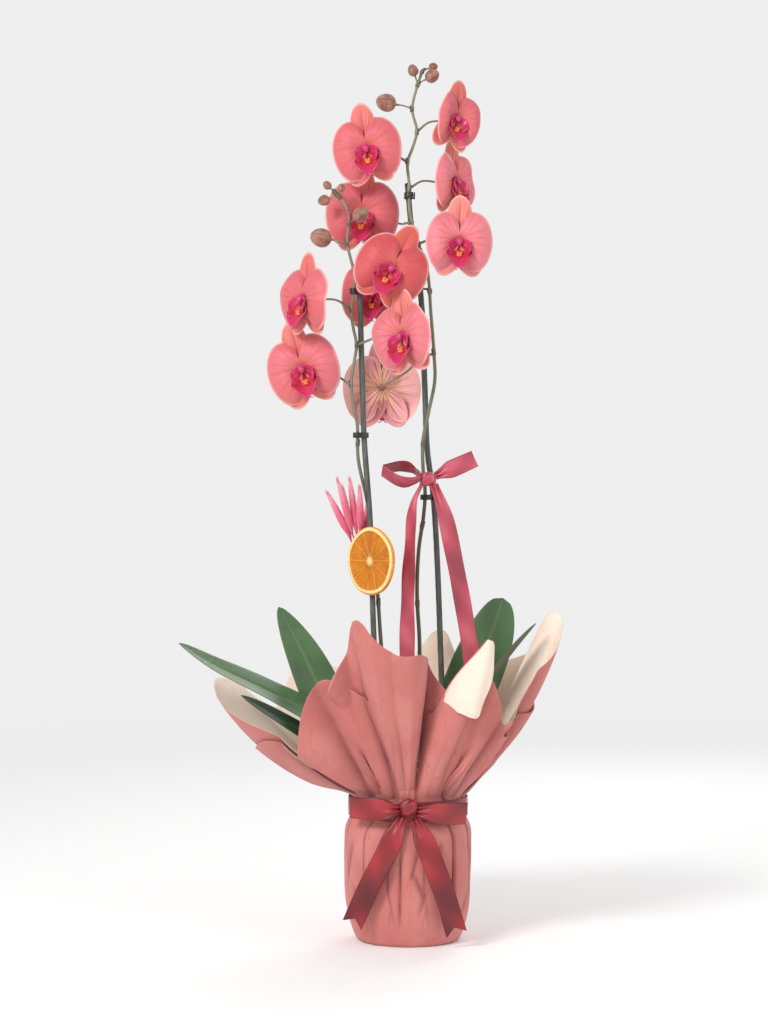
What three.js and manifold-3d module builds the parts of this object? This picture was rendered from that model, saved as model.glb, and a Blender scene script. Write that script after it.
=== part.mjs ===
// A moth orchid with two flower spikes in a 12 cm grow pot, wrapped in two square sheets of
// florist's paper that a satin ribbon ties at the neck. Each spike is clipped to a stake; one
// stake carries a dried orange slice and a tuft of dried grass, the other a second ribbon bow.
// Millimetres, +Z up. The origin is the centre of the flat base. -Y is the front, +X the right.
import * as THREE from "three";
import { mergeVertices } from "three/addons/utils/BufferGeometryUtils.js";
import Module from "manifold-3d";

const wasm = await Module();
wasm.setup();

// ---------------------------------------------------------------- driving dimensions
const GAP = 0.3;              // what touching pieces keep between them
const PAPER = 0.8;            // modelled thickness of a paper sheet
const SHEET_GAP = 0.6;        // clear space between the two sheets round the pot
const SHEET_SPREAD = 3;       // how much further apart they are at their edges
const BASE_R = 49;            // flat base of the wrapped pot
const BODY_R = 61.5;          // fullest radius of the wrapped pot
const NECK_DRAW = 6;          // how far the ribbon draws the paper in from its fullest radius
const RIBBON = 18;            // height of the ribbon band
const SATIN = 1.2;            // modelled thickness of the ribbon
const BOW_WIDTH = 20;         // ribbon width of the neck bow
const STAKE_BOW_WIDTH = 16;   // ribbon width of the bow on the stake
const POT_SLACK = 2.3;        // room between the paper and the rim of the grow pot
const FOOT_SLACK = 6.5;       // how much smaller the pot's foot is than the paper's base, in radius
const POT_HEIGHT = 104;
const POT_WALL = 1.8;
const TIE_ABOVE_POT = 20.7;   // middle of the ribbon tie above the pot's rim
const DRAIN_R = 4;
const FILL_DEPTH = 12;        // how far the bark lies below the pot's rim
const CROWN_R = 12;           // the short stem that the leaves grow from
const STAKE_R = 2.9;
const STEM_R = 1.75;
const PEDICEL_R = 1.1;
const FLOWER_WIDTH = 70;      // across the two petals of a flower of scale 1
const PETAL_THICKNESS = 1.2;
const SLICE_R = 32.5;
const SLICE_THICKNESS = 5;
const PLUME_R = 4.8;

const COLOURS = {
  paper: "#D4817A", paperInside: "#F3D3C3", ribbon: "#9E2330", rose: "#C04A5C", pot: "#8A5A3C",
  bark: "#5B4030", leaf: "#4E6B45", stake: "#4E534E", stem: "#7A7263", flower: "#E8747A",
  bud: "#94604F", clip: "#33312F", orange: "#D98A10", grass: "#D9456B", root: "#A8A890",
};

const NECK_R = BODY_R - NECK_DRAW;
const POT_Z = 2 * PAPER + SHEET_GAP + GAP;
const POT_TOP_R = BODY_R - 1 - (2 * PAPER + SHEET_GAP) - POT_SLACK;
const POT_BASE_R = BASE_R - FOOT_SLACK;
const NECK_Z = POT_HEIGHT + POT_Z + TIE_ABOVE_POT;
const BARK_TOP = POT_Z + POT_HEIGHT - FILL_DEPTH;
// The plant and what is tied to its stakes are drawn for bark that comes up to this height, and
// stand higher or lower with the bark.
const DRAWN_BARK_TOP = 94.5;

const part = new THREE.Group();
const plant = new THREE.Group();
plant.position.z = BARK_TOP - DRAWN_BARK_TOP;
part.add(plant);

// ---------------------------------------------------------------- helpers
const degrees = THREE.MathUtils.degToRad;
const vector = (point) => new THREE.Vector3(...point);
const curveThrough = (points) => new THREE.CatmullRomCurve3(points.map(vector), false, "centripetal");

function addPiece(name, geometry, colour, roughness = 0.7, group = part) {
  const material = new THREE.MeshStandardMaterial({ color: colour, roughness, metalness: 0 });
  const mesh = new THREE.Mesh(geometry, material);
  mesh.name = name;
  group.add(mesh);
  return mesh;
}

const addToPlant = (name, geometry, colour, roughness) => addPiece(name, geometry, colour, roughness, plant);

// Merges a geometry's shared corners, so that it is one closed surface.
function welded(geometry) {
  const bare = geometry.clone();
  bare.deleteAttribute("normal");
  bare.deleteAttribute("uv");
  return mergeVertices(bare, 1e-4);
}

// Moves every corner of a geometry to where place(corner) says, and welds it.
function shaped(geometry, place) {
  const bare = welded(geometry);
  const position = bare.getAttribute("position");
  const corner = new THREE.Vector3();
  for (let i = 0; i < position.count; i += 1) {
    corner.fromBufferAttribute(position, i);
    position.setXYZ(i, ...place(corner.clone()).toArray());
  }
  return bare;
}

function solidOf(geometry) {
  const bare = welded(geometry);
  return new wasm.Manifold(new wasm.Mesh({
    numProp: 3,
    vertProperties: new Float32Array(bare.getAttribute("position").array),
    triVerts: new Uint32Array(bare.getIndex().array),
  }));
}

function geometryOf(solid) {
  const mesh = solid.getMesh();
  const geometry = new THREE.BufferGeometry();
  geometry.setAttribute("position", new THREE.BufferAttribute(mesh.vertProperties, 3));
  geometry.setIndex(new THREE.BufferAttribute(mesh.triVerts, 1));
  return geometry;
}

function joined(geometries) {
  return geometryOf(geometries.map(solidOf).reduce((whole, next) => whole.add(next)));
}

function tube(curve, radius, steps, sides) {
  const ring = Array.from({ length: sides }, (_, i) => {
    const turn = (2 * Math.PI * i) / sides;
    return new THREE.Vector2(radius * Math.cos(turn), radius * Math.sin(turn));
  });
  return new THREE.ExtrudeGeometry(new THREE.Shape(ring), { steps, extrudePath: curve, curveSegments: 1 });
}

// The point of a rising curve at a given height.
function pointAtHeight(curve, height) {
  let low = 0;
  let high = 1;
  for (let i = 0; i < 40; i += 1) {
    const middle = (low + high) / 2;
    if (curve.getPoint(middle).z < height) low = middle;
    else high = middle;
  }
  return curve.getPoint((low + high) / 2);
}

// A lathe turned about +Z from [radius, height] pairs.
function turned(profile, segments) {
  const points = profile.map(([radius, height]) => new THREE.Vector2(radius, height));
  return new THREE.LatheGeometry(points, segments).rotateX(Math.PI / 2);
}

// ---------------------------------------------------------------- the paper wrap
// How the gathered paper leans out above the tie, as [azimuth, lean at the tie, lean at the top]
// in degrees from upright. Ridges lean further out than the valleys beside them.
const FLARE = [
  [-180, 74, 26], [-165, 66, 29], [-150, 60, 30], [-135, 36, 20], [-124, 24, 20], [-112, 31, 21],
  [-95, 31, 17], [-82, 22, 14], [-71, 9, 13], [-58, 31, 22], [-46, 24, 20], [-34, 42, 26],
  [-20, 38, 22], [-5, 47, 15], [8, 32, 20], [28, 48, 25], [45, 36, 24], [60, 34, 24],
  [76, 42, 22], [95, 36, 24], [110, 36, 24], [130, 54, 26], [150, 60, 30], [166, 66, 28],
];
const FLARE_START = NECK_Z + RIBBON / 2 + 1;
const FLARE_LENGTH = 200;     // arc over which the lean changes

// Each sheet's corners as [azimuth, length of paper above the tie], and its length between them.
const OUTER_CORNERS = [[-135, 136], [-58, 176], [28, 186], [130, 172]];
const INNER_CORNERS = [[-112, 198], [-5, 204], [76, 186], [174, 184]];
const EDGE_LENGTH = 100;
const ROUND_SEGMENTS = 44;    // faces round the paper and its ribbon band
const LOWER_FLARE = 60;       // the paper above the tie where both sheets run side by side

// Smooth value of column k of a table whose first column is an azimuth, all round the circle.
function aroundCircle(table, azimuth, k) {
  const count = table.length;
  const turnsOf = (i) => Math.floor(i / count) * 360;
  const at = (i) => table[((i % count) + count) % count];
  let i = 0;
  while (i < count && at(i + 1)[0] + turnsOf(i + 1) <= azimuth) i += 1;
  const start = at(i)[0] + turnsOf(i);
  const end = at(i + 1)[0] + turnsOf(i + 1);
  const t = (azimuth - start) / (end - start);
  const [a, b, c, d] = [at(i - 1)[k], at(i)[k], at(i + 1)[k], at(i + 2)[k]];
  return b + 0.5 * t * (c - a + t * (2 * a - 5 * b + 4 * c - d + t * (3 * (b - c) + d - a)));
}

// The paper above the tie, from the outline of a square: the edge is furthest at the corners.
function paperLength(corners, azimuth) {
  const gaps = corners.map(([at, reach], i) => {
    const next = corners[(i + 1) % corners.length];
    return { at, reach, nextAt: next[0] + (i + 1 === corners.length ? 360 : 0), nextReach: next[1] };
  });
  const turn = azimuth < gaps[0].at ? azimuth + 360 : azimuth;
  const side = gaps.find((gap) => turn >= gap.at && turn <= gap.nextAt);
  const along = (turn - side.at) / (side.nextAt - side.at);
  const reach = along < 0.5 ? side.reach : side.nextReach;
  const rise = (1 / Math.cos(degrees(90 * (along - 0.5))) - 1) / (Math.SQRT2 - 1);
  return EDGE_LENGTH + (reach - EDGE_LENGTH) * rise;
}

// Radius and height of the paper at an azimuth, and its outward normal, after `length` of paper.
function flarePoint(azimuth, length) {
  const lean = degrees(aroundCircle(FLARE, azimuth, 1));
  const change = (degrees(aroundCircle(FLARE, azimuth, 2)) - lean) / FLARE_LENGTH;
  const steps = 24;
  let radius = NECK_R;
  let height = FLARE_START;
  for (let i = 0; i < steps; i += 1) {
    const angle = lean + change * length * ((i + 0.5) / steps);
    radius += (Math.sin(angle) * length) / steps;
    height += (Math.cos(angle) * length) / steps;
  }
  const end = lean + change * length;
  return { radius, height, normal: [Math.cos(end), -Math.sin(end)] };
}

// A lathe splits each square of its surface into two triangles. Past the point numbered `from`
// the profile runs back down, and its squares are split along the other diagonal, so that the
// inside of a pleated wall follows the outside.
function splitAlike(geometry, pointCount, from) {
  const index = geometry.getIndex();
  for (let k = 0; k < index.count; k += 6) {
    if ((k / 6) % (pointCount - 1) < from) continue;
    const [a, b, d, c] = [0, 1, 2, 3].map((i) => index.getX(k + i));
    [a, b, c, a, c, d].forEach((corner, i) => index.setX(k + i, corner));
  }
  return geometry;
}

// A sheet is turned as a cup with a straight tube on top. The height of the tube tells how far
// along the paper a corner lies, and the tube's walls are then opened out to the flare.
function paperSheet(inset, spread, corners) {
  const rows = [0.25, 0.5, 0.75, 1];
  const tubeUnit = 100;
  const body = [
    [BASE_R, 0], [BODY_R - 2, 0.27 * NECK_Z], [BODY_R, 0.57 * NECK_Z], [BODY_R - 1, POT_Z + POT_HEIGHT - 2],
    [NECK_R, NECK_Z - RIBBON / 2], [NECK_R, FLARE_START],
  ];
  const wall = (depth) => [
    ...body.map(([radius, height]) => [radius - depth, Math.max(height, depth)]),
    ...rows.map((row) => [NECK_R - depth - spread * row, FLARE_START + row * tubeUnit]),
  ];
  const profile = [[0, inset], ...wall(inset), ...wall(inset + PAPER).reverse(), [0, inset + PAPER]];
  const cup = splitAlike(turned(profile, ROUND_SEGMENTS), profile.length, profile.length / 2);
  return shaped(cup, (corner) => {
    if (corner.z < FLARE_START - 1e-3) return corner;
    const turn = Math.atan2(corner.y, corner.x);
    const azimuth = Math.min(THREE.MathUtils.radToDeg(turn), 179.999);
    const depth = NECK_R - Math.hypot(corner.x, corner.y);
    if (corner.z < FLARE_START + 1e-3) {
      corner.z += depth * Math.tan(degrees(aroundCircle(FLARE, azimuth, 1)) / 2);
      return corner;
    }
    const share = (corner.z - FLARE_START) / tubeUnit;
    const length = share < 0.5
      ? 2 * share * LOWER_FLARE
      : THREE.MathUtils.mapLinear(share, 0.5, 1, LOWER_FLARE, paperLength(corners, azimuth));
    const place = flarePoint(azimuth, length);
    const radius = place.radius - depth * place.normal[0];
    const height = place.height - depth * place.normal[1];
    return new THREE.Vector3(radius * Math.cos(turn), radius * Math.sin(turn), height);
  });
}

addPiece("wrap_sheet_outer", paperSheet(0, 0, OUTER_CORNERS), COLOURS.paper, 0.8);
const innerSheet = paperSheet(PAPER + SHEET_GAP, SHEET_SPREAD, INNER_CORNERS);
addPiece("wrap_sheet_inner", innerSheet, COLOURS.paperInside, 0.8);

// ---------------------------------------------------------------- pot, bark and crown
const potRadius = (height) => THREE.MathUtils.mapLinear(height, 0, POT_HEIGHT, POT_BASE_R, POT_TOP_R);

function growPot() {
  const floor = 2.5;
  const cup = turned([
    [0, 0], [POT_BASE_R, 0], [potRadius(POT_HEIGHT), POT_HEIGHT],
    [potRadius(POT_HEIGHT) - POT_WALL, POT_HEIGHT], [potRadius(floor) - POT_WALL, floor], [0, floor],
  ], 24);
  let pot = solidOf(cup);
  for (let i = 0; i < 6; i += 1) {
    const turn = (Math.PI * i) / 3;
    const hole = new THREE.CylinderGeometry(DRAIN_R, DRAIN_R, 3 * floor, 10).rotateX(Math.PI / 2);
    hole.translate(0.62 * POT_BASE_R * Math.cos(turn), 0.62 * POT_BASE_R * Math.sin(turn), floor / 2);
    pot = pot.subtract(solidOf(hole));
  }
  return geometryOf(pot);
}
addPiece("grow_pot", growPot(), COLOURS.pot, 0.4).position.z = POT_Z;

// ---------------------------------------------------------------- stakes and spikes
// Where a leaf or a stem leaves the crown, in a direction and at a height.
function crownFoot(azimuth, height) {
  const radius = CROWN_R + STEM_R + 2 * GAP;
  return [radius * Math.cos(degrees(azimuth)), radius * Math.sin(degrees(azimuth)), height];
}

const leftStake = curveThrough([
  [-22, 24, 10], [-26.4, 18.8, 131], [-33, 11, 298], [-36, 7, 395], [-41.6, 3, 474], [-43.8, 0, 541],
  [-46, -4, 621],
]);
const rightStake = curveThrough([
  [37, 9, 12], [31.4, 8, 266], [24.4, 8, 418], [18.5, 8, 464], [16, 8, 528], [12.3, 8, 612],
  [3.4, 8, 676], [-0.4, 8, 718],
]);
const leftStem = curveThrough([
  crownFoot(134, 109), [-12, 14, 180], [-24, 17, 262], [-30, 16, 340], [-38, 13, 410],
  [-47.4, 5, 456], [-48.2, -1, 488], [-52.3, -6, 509], [-54, -8, 525], [-50.8, -9, 548], [-48.8, -9, 563],
  [-52, -9, 580], [-54, -9, 596], [-50.9, -9.5, 616], [-51.5, -9.5, 632], [-57.5, -9, 660], [-55.8, -9, 685],
  [-61, -9, 698], [-69, -9, 707],
]);
const rightStem = curveThrough([
  crownFoot(-73, 111), [8, -9, 190], [11, -3, 276], [8.6, -1, 327], [10.2, -1, 369], [14.8, -2, 402],
  [16.2, -2, 424], [14.3, -1, 446], [14.3, -1, 473], [19.6, -1, 500], [25.5, 0, 530], [24.7, 1, 556],
  [22, 1, 592], [17.5, 1, 640], [8, -0.5, 664], [1.6, -1, 690], [1, -1, 718], [-0.4, -1, 737], [4.4, -1, 751],
  [8.3, -1, 767], [4, -1, 787], [7.5, -1, 805], [13.6, -1, 824],
]);
addToPlant("stake_left", tube(leftStake, STAKE_R, 12, 8), COLOURS.stake, 0.5);
addToPlant("stake_right", tube(rightStake, STAKE_R, 14, 8), COLOURS.stake, 0.5);

function barkMedium() {
  const foot = POT_Z + 3;
  const radiusAt = (height) => potRadius(height - POT_Z) - POT_WALL - 2 * GAP;
  let bark = solidOf(turned([
    [0, foot], [radiusAt(foot), foot], [radiusAt(BARK_TOP - 3), BARK_TOP - 3], [30, BARK_TOP], [0, BARK_TOP],
  ], 24));
  for (const stake of [leftStake, rightStake]) {
    const bore = tube(stake, STAKE_R + 2 * GAP, 14, 8).translate(0, 0, plant.position.z);
    bark = bark.subtract(solidOf(bore));
  }
  return geometryOf(bark);
}
addPiece("bark_medium", barkMedium(), COLOURS.bark, 0.95);

const CROWN_Z = DRAWN_BARK_TOP + GAP;
const crown = turned([
  [0, 0], [0.7 * CROWN_R, 0], [0.95 * CROWN_R, 12], [CROWN_R, 22], [0.8 * CROWN_R, 32], [0.3 * CROWN_R, 38],
  [0, 38],
], 12);
addToPlant("plant_crown", crown, COLOURS.leaf, 0.6).position.z = CROWN_Z;

const rootCurve = curveThrough([
  crownFoot(66, CROWN_Z + 6), [10, 22, CROWN_Z + 8], [4, 33, CROWN_Z + 4], [-8, 38, CROWN_Z + 3],
  [-16, 40, CROWN_Z + 4],
]);
addToPlant("aerial_root", tube(rootCurve, 2.4, 8, 6), COLOURS.root, 0.7);

// ---------------------------------------------------------------- leaves
// A leaf is a thin plate bent along its middle line. `across` is the direction of its width, and
// `keel` how far its edges stand above its middle.
function leaf(points, width, across, keel) {
  const thickness = 1.6;
  const curve = curveThrough(points);
  const outline = (t) => Math.max(0.12, Math.sin(Math.PI * Math.min(1, 0.06 + 0.94 * t) ** 1.15) ** 0.7);
  return shaped(new THREE.BoxGeometry(1, 1, 1, 2, 1, 11), (corner) => {
    const t = corner.z + 0.5;
    const centre = curve.getPoint(t);
    const along = curve.getTangent(t);
    const side = vector(across).addScaledVector(along, -vector(across).dot(along)).normalize();
    const up = new THREE.Vector3().crossVectors(along, side).normalize();
    const half = 0.5 * width * outline(t);
    const lift = keel * outline(t) * Math.abs(2 * corner.x) + thickness * corner.y;
    return centre.addScaledVector(side, 2 * corner.x * half).addScaledVector(up, lift);
  });
}
const LEAVES = {
  leaf_left_long: {
    points: [crownFoot(-160, 116), [-32, -10, 144], [-52, -14, 178], [-79, -18, 206], [-131, -24, 236],
      [-183, -28, 262], [-215, -30, 282]],
    width: 40, across: [0.12, -0.8, -0.5], keel: 3,
  },
  leaf_left_upright: {
    points: [crownFoot(161, 130), [-28, 8.5, 155], [-54, 12, 186], [-76, 15, 219], [-100, 17, 268],
      [-124, 18, 314]],
    width: 42, across: [-0.86, -0.25, -0.45], keel: 4,
  },
  leaf_left_low: {
    points: [crownFoot(-143, 106), [-34, -15, 134], [-60, -20, 166], [-84, -24, 187], [-122, -27, 212],
      [-157, -28, 233]],
    width: 26, across: [0.1, -0.75, -0.6], keel: 2,
  },
  leaf_right_broad: {
    points: [crownFoot(45, 122), [30, 23, 160], [46, 27, 204], [66, 29, 252], [82, 31, 292], [92, 32, 322]],
    width: 52, across: [-0.85, 0.1, 0.5], keel: 3,
  },
  leaf_right_edge: {
    points: [crownFoot(-20, 113), [30, -10, 150], [48, -12, 192], [68, -12, 231], [96, -12, 270],
      [121, -12, 300]],
    width: 32, across: [0.2, 0.95, -0.2], keel: 3,
  },
  leaf_right_low: {
    points: [crownFoot(-51, 103), [28, -24, 136], [44, -31, 168], [60, -36, 200], [82, -38, 242]],
    width: 22, across: [0.4, 0.7, -0.5], keel: 2,
  },
};
for (const [name, { points, width, across, keel }] of Object.entries(LEAVES)) {
  addToPlant(name, leaf(points, width, across, keel), COLOURS.leaf, 0.45);
}

// ---------------------------------------------------------------- flowers
// A flower faces -Y with its dorsal sepal up. Each flower and bud is named by its place on its
// spike: yaw turns its face towards +X, pitch tips it up and roll turns it clockwise.
const HUB = 5;                // how far the back of the flower reaches behind its petals
const FLOWERS = [
  { name: "flower_01", at: [43.5, -8, 777.6], yaw: 28, pitch: 0, roll: 6, scale: 0.84, cup: 30,
    from: [8.3, -1, 766] },
  { name: "flower_02", at: [41.8, 6, 720.6], yaw: 48, pitch: 0, roll: 4, scale: 0.9, cup: 18,
    from: [1, -1, 712] },
  { name: "flower_03", at: [47.9, -18, 660.9], yaw: 2, pitch: 0, roll: 2, scale: 0.96, cup: 22,
    from: [10, 0, 660] },
  { name: "flower_04", at: [-38.9, -12, 749.1], yaw: -8, pitch: 0, roll: -10, scale: 0.97, cup: 10,
    from: [-0.4, -1, 737] },
  { name: "flower_05", at: [-43.8, 17, 691.6], yaw: -4, pitch: 0, roll: 0, scale: 1.03, cup: 8,
    from: [2, -1, 680], by: [[-3, 7, 680], [-7.5, 25, 682]] },
  { name: "flower_06", at: [-15.3, -27, 634.4], yaw: 2, pitch: 0, roll: 28, scale: 1.0, cup: 6,
    from: [17.5, 1, 640] },
  { name: "flower_07", at: [-32, 20, 615.7], yaw: -14, pitch: 0, roll: 0, scale: 0.96, cup: 8,
    from: [20, 1, 615], by: [[19, 15, 618], [0, 24, 620]] },
  { name: "flower_08", at: [-3.2, -38, 570.1], yaw: -25, pitch: 0, roll: -8, scale: 1.0, cup: 14,
    from: [-48.8, -9, 563] },
  { name: "flower_09", at: [-95.1, -27, 605.6], yaw: -45, pitch: 0, roll: 2, scale: 0.97, cup: 14,
    from: [-54, -9, 596] },
  { name: "flower_10", at: [-99.6, -6, 541.6], yaw: -10, pitch: 0, roll: -18, scale: 1.03, cup: 10,
    from: [-54, -8, 525] },
  { name: "flower_11", at: [-24.7, 37, 524.9], yaw: 178, pitch: 0, roll: 0, scale: 1.08, cup: 6,
    from: [24.7, 1, 556], by: [[12, 0.5, 550], [-2, 7, 538]] },
];

// A round plate, bent so that it rises forward by `lift` towards its far end.
function blade(radiusX, radiusZ, centreX, centreZ, turn, back, lift, sides) {
  const plate = new THREE.CylinderGeometry(1, 1, PETAL_THICKNESS, sides, 1);
  return shaped(plate, (corner) => {
    const flat = new THREE.Vector3(corner.x * radiusX, 0, corner.z * radiusZ);
    flat.applyAxisAngle(new THREE.Vector3(0, 1, 0), degrees(turn));
    flat.x += centreX;
    flat.z += centreZ;
    const reach = Math.hypot(flat.x, flat.z) / (FLOWER_WIDTH / 2);
    flat.y = back + corner.y - lift * reach * reach;
    return flat;
  });
}

function flower(scale, cup) {
  const unit = (scale * FLOWER_WIDTH) / 70;
  const forward = 35 * unit * Math.sin(degrees(cup));
  const spread = unit * (0.35 + 0.65 * Math.cos(degrees(cup)));
  const pieces = [
    blade(11.5 * unit, 18.5 * unit, 0, 20 * unit, 0, 0.8, 2, 8),
    blade(11 * unit, 18.5 * unit, -11.5 * unit, -17.4 * unit, 33, 0.8, 1, 8),
    blade(11 * unit, 18.5 * unit, 11.5 * unit, -17.4 * unit, -33, 0.8, 1, 8),
    blade(18 * spread, 18 * unit, -17 * spread, 4 * unit, 0, -0.2, forward, 9),
    blade(18 * spread, 18 * unit, 17 * spread, 4 * unit, 0, -0.2, forward, 9),
  ];
  const hub = new THREE.CylinderGeometry(2.2, 3.2 * unit, HUB + 5, 6).translate(0, (HUB - 5) / 2, 0);
  const column = new THREE.SphereGeometry(4.2 * unit, 6, 4).scale(0.9, 1.5, 0.9);
  column.translate(0, -4.5 * unit, 1 * unit);
  const lip = new THREE.SphereGeometry(8 * unit, 8, 5).scale(1, 0.9, 0.9);
  lip.translate(0, -8 * unit, -8.5 * unit);
  const heart = new THREE.SphereGeometry(6 * unit, 8, 4).scale(1, 0.4, 1);
  return joined([...pieces, heart, hub, column, lip]);
}

const pedicels = { left: [], right: [] };
for (const { name, at, yaw, pitch, roll, scale, cup, from, by } of FLOWERS) {
  const mesh = addToPlant(name, flower(scale, cup), COLOURS.flower, 0.5);
  mesh.position.set(...at);
  mesh.rotation.set(degrees(pitch), degrees(roll), degrees(yaw), "ZXY");
  mesh.updateMatrix();
  const end = new THREE.Vector3(0, HUB + 2 * GAP, 0).applyMatrix4(mesh.matrix);
  const behind = new THREE.Vector3(0, HUB + 11, 0).applyMatrix4(mesh.matrix);
  const start = vector(from);
  const bend = start.clone().lerp(behind, 0.45).add(new THREE.Vector3(0, 3, 5));
  const between = by ? by.map(vector) : [bend];
  const route = new THREE.CatmullRomCurve3([start, ...between, behind, end], false, "centripetal");
  const spike = ["flower_08", "flower_09", "flower_10"].includes(name) ? "left" : "right";
  pedicels[spike].push(tube(route, PEDICEL_R, 7, 4));
}

// ---------------------------------------------------------------- buds
const BUDS = [
  { name: "bud_right_1", at: [-20.9, -2, 793.6], radius: 9.3, from: [4, -1, 788], spike: "right" },
  { name: "bud_right_2", at: [4.6, -5.5, 823.6], radius: 5.5, from: [9.4, -1, 811], spike: "right" },
  { name: "bud_right_3", at: [23, -4, 818.6], radius: 6.8, from: [9.4, -1, 811], spike: "right" },
  { name: "bud_right_4", at: [24.2, 5.5, 829], radius: 4.4, from: [13.4, -1, 823.4], spike: "right" },
  { name: "bud_left_1", at: [-82.6, -9, 664.6], radius: 9.8, from: [-57.4, -9, 659], spike: "left" },
  { name: "bud_left_2", at: [-44.7, -15, 686], radius: 7.8, from: [-55.9, -9, 677], spike: "left" },
  { name: "bud_left_3", at: [-79.8, -8, 700], radius: 5.6, from: [-66, -9, 703.8], spike: "left" },
  { name: "bud_left_4", at: [-76.5, -11, 714], radius: 4.2, from: [-68.6, -9, 706.6], spike: "left" },
  { name: "bud_left_5", at: [-63.2, -11, 711.6], radius: 3.8, from: [-64.5, -9, 702.4], spike: "left" },
];
for (const { name, at, radius, from, spike } of BUDS) {
  const egg = new THREE.SphereGeometry(radius, 8, 6).scale(0.92, 0.92, 1.08);
  const centre = vector(at);
  const towards = vector(from).sub(centre).normalize();
  addToPlant(name, egg, COLOURS.bud, 0.55).position.copy(centre);
  const end = centre.clone().addScaledVector(towards, 1.1 * radius + GAP);
  const bend = vector(from).lerp(end, 0.5).add(new THREE.Vector3(0, 0, 0.1 * radius));
  const route = new THREE.CatmullRomCurve3([vector(from), bend, end], false, "centripetal");
  pedicels[spike].push(tube(route, 0.9, 3, 4));
}
addToPlant("spike_left", joined([tube(leftStem, STEM_R, 34, 6), ...pedicels.left]), COLOURS.stem, 0.6);
addToPlant("spike_right", joined([tube(rightStem, STEM_R, 38, 6), ...pedicels.right]), COLOURS.stem, 0.6);

// ---------------------------------------------------------------- clips that hold stem to stake
// A ring with straight sides and round ends that closes round a stake and the stem beside it.
function ringRound(stake, stem, height, wall, depth) {
  const a = pointAtHeight(stake, height);
  const b = pointAtHeight(stem, height);
  const half = a.distanceTo(b) / 2;
  const loop = (path, radius) => path
    .absarc(half, 0, radius, -Math.PI / 2, Math.PI / 2, false)
    .absarc(-half, 0, radius, Math.PI / 2, (3 * Math.PI) / 2, false)
    .closePath();
  const inner = STAKE_R + 2 * GAP;
  const outline = loop(new THREE.Shape(), inner + wall);
  outline.holes.push(loop(new THREE.Path(), inner));
  const ring = new THREE.ExtrudeGeometry(outline, { depth, bevelEnabled: false, curveSegments: 3 });
  ring.translate(0, 0, -depth / 2);
  ring.rotateZ(Math.atan2(b.y - a.y, b.x - a.x));
  return ring.translate(...a.lerp(b, 0.5).toArray());
}
const CLIPS = {
  clip_left_low: [leftStake, leftStem, 478],
  clip_left_top: [leftStake, leftStem, 614],
  clip_right_low: [rightStake, rightStem, 419],
  clip_right_top: [rightStake, rightStem, 706],
};
for (const [name, [stake, stem, height]] of Object.entries(CLIPS)) {
  addToPlant(name, ringRound(stake, stem, height, 1.3, 5), COLOURS.clip, 0.35);
}

// ---------------------------------------------------------------- orange slice and dried grass
const SLICE_YAW = -48;
const SLICE_Z = 358.5;
const SLICE_STANDOFF = 2.45;  // room between the slice and the leaning stake behind it
const SLICE_ASIDE = 8.19;     // how far the slice's centre hangs to one side of the stake
const slice = new THREE.CylinderGeometry(SLICE_R, SLICE_R, SLICE_THICKNESS, 28);
const sliceMesh = addToPlant("orange_slice", slice, COLOURS.orange, 0.5);
sliceMesh.rotation.z = degrees(SLICE_YAW);
const sliceOffset = new THREE.Vector3(SLICE_ASIDE, -(SLICE_THICKNESS / 2 + STAKE_R + SLICE_STANDOFF), 0);
sliceMesh.position.copy(sliceOffset.applyEuler(sliceMesh.rotation).add(pointAtHeight(leftStake, SLICE_Z)));
const tie = new THREE.TorusGeometry(STAKE_R + 1.1, 0.45, 4, 12);
addToPlant("slice_tie", tie, COLOURS.stake, 0.6).position.copy(pointAtHeight(leftStake, 370));

// The tips of the plumes; their feet stand side by side behind the slice.
const PLUME_TIPS = [[-78, 8, 425], [-67.7, -3, 438], [-56, 8, 439], [-46, -6, 431], [-37, 25, 419],
  [-63, 21, 430]];
const PLUME_FOOT = [-46, 22, 376];
PLUME_TIPS.forEach((tip, i) => {
  const foot = vector(PLUME_FOOT).add(new THREE.Vector3(3 * (i % 5) - 8, i === 5 ? 5 : 0, 0));
  const end = vector(tip);
  const length = foot.distanceTo(end);
  const profile = [[0, 0], [0.8, 0], [0.9, 0.3 * length], [PLUME_R, 0.52 * length],
    [0.9 * PLUME_R, 0.7 * length],
    [0.5 * PLUME_R, 0.9 * length], [0, length]];
  const plume = addToPlant(`grass_plume_${i + 1}`, turned(profile, 8), COLOURS.grass, 0.9);
  plume.position.copy(foot);
  plume.quaternion.setFromUnitVectors(new THREE.Vector3(0, 0, 1), end.sub(foot).normalize());
});

// ---------------------------------------------------------------- ribbons
const BAND_R = NECK_R + GAP;
const band = turned([
  [BAND_R, -RIBBON / 2], [BAND_R + SATIN, -RIBBON / 2], [BAND_R + SATIN, RIBBON / 2], [BAND_R, RIBBON / 2],
  [BAND_R, -RIBBON / 2],
], ROUND_SEGMENTS);
addPiece("neck_ribbon_band", band, COLOURS.ribbon, 0.4).position.z = NECK_Z;

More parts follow.
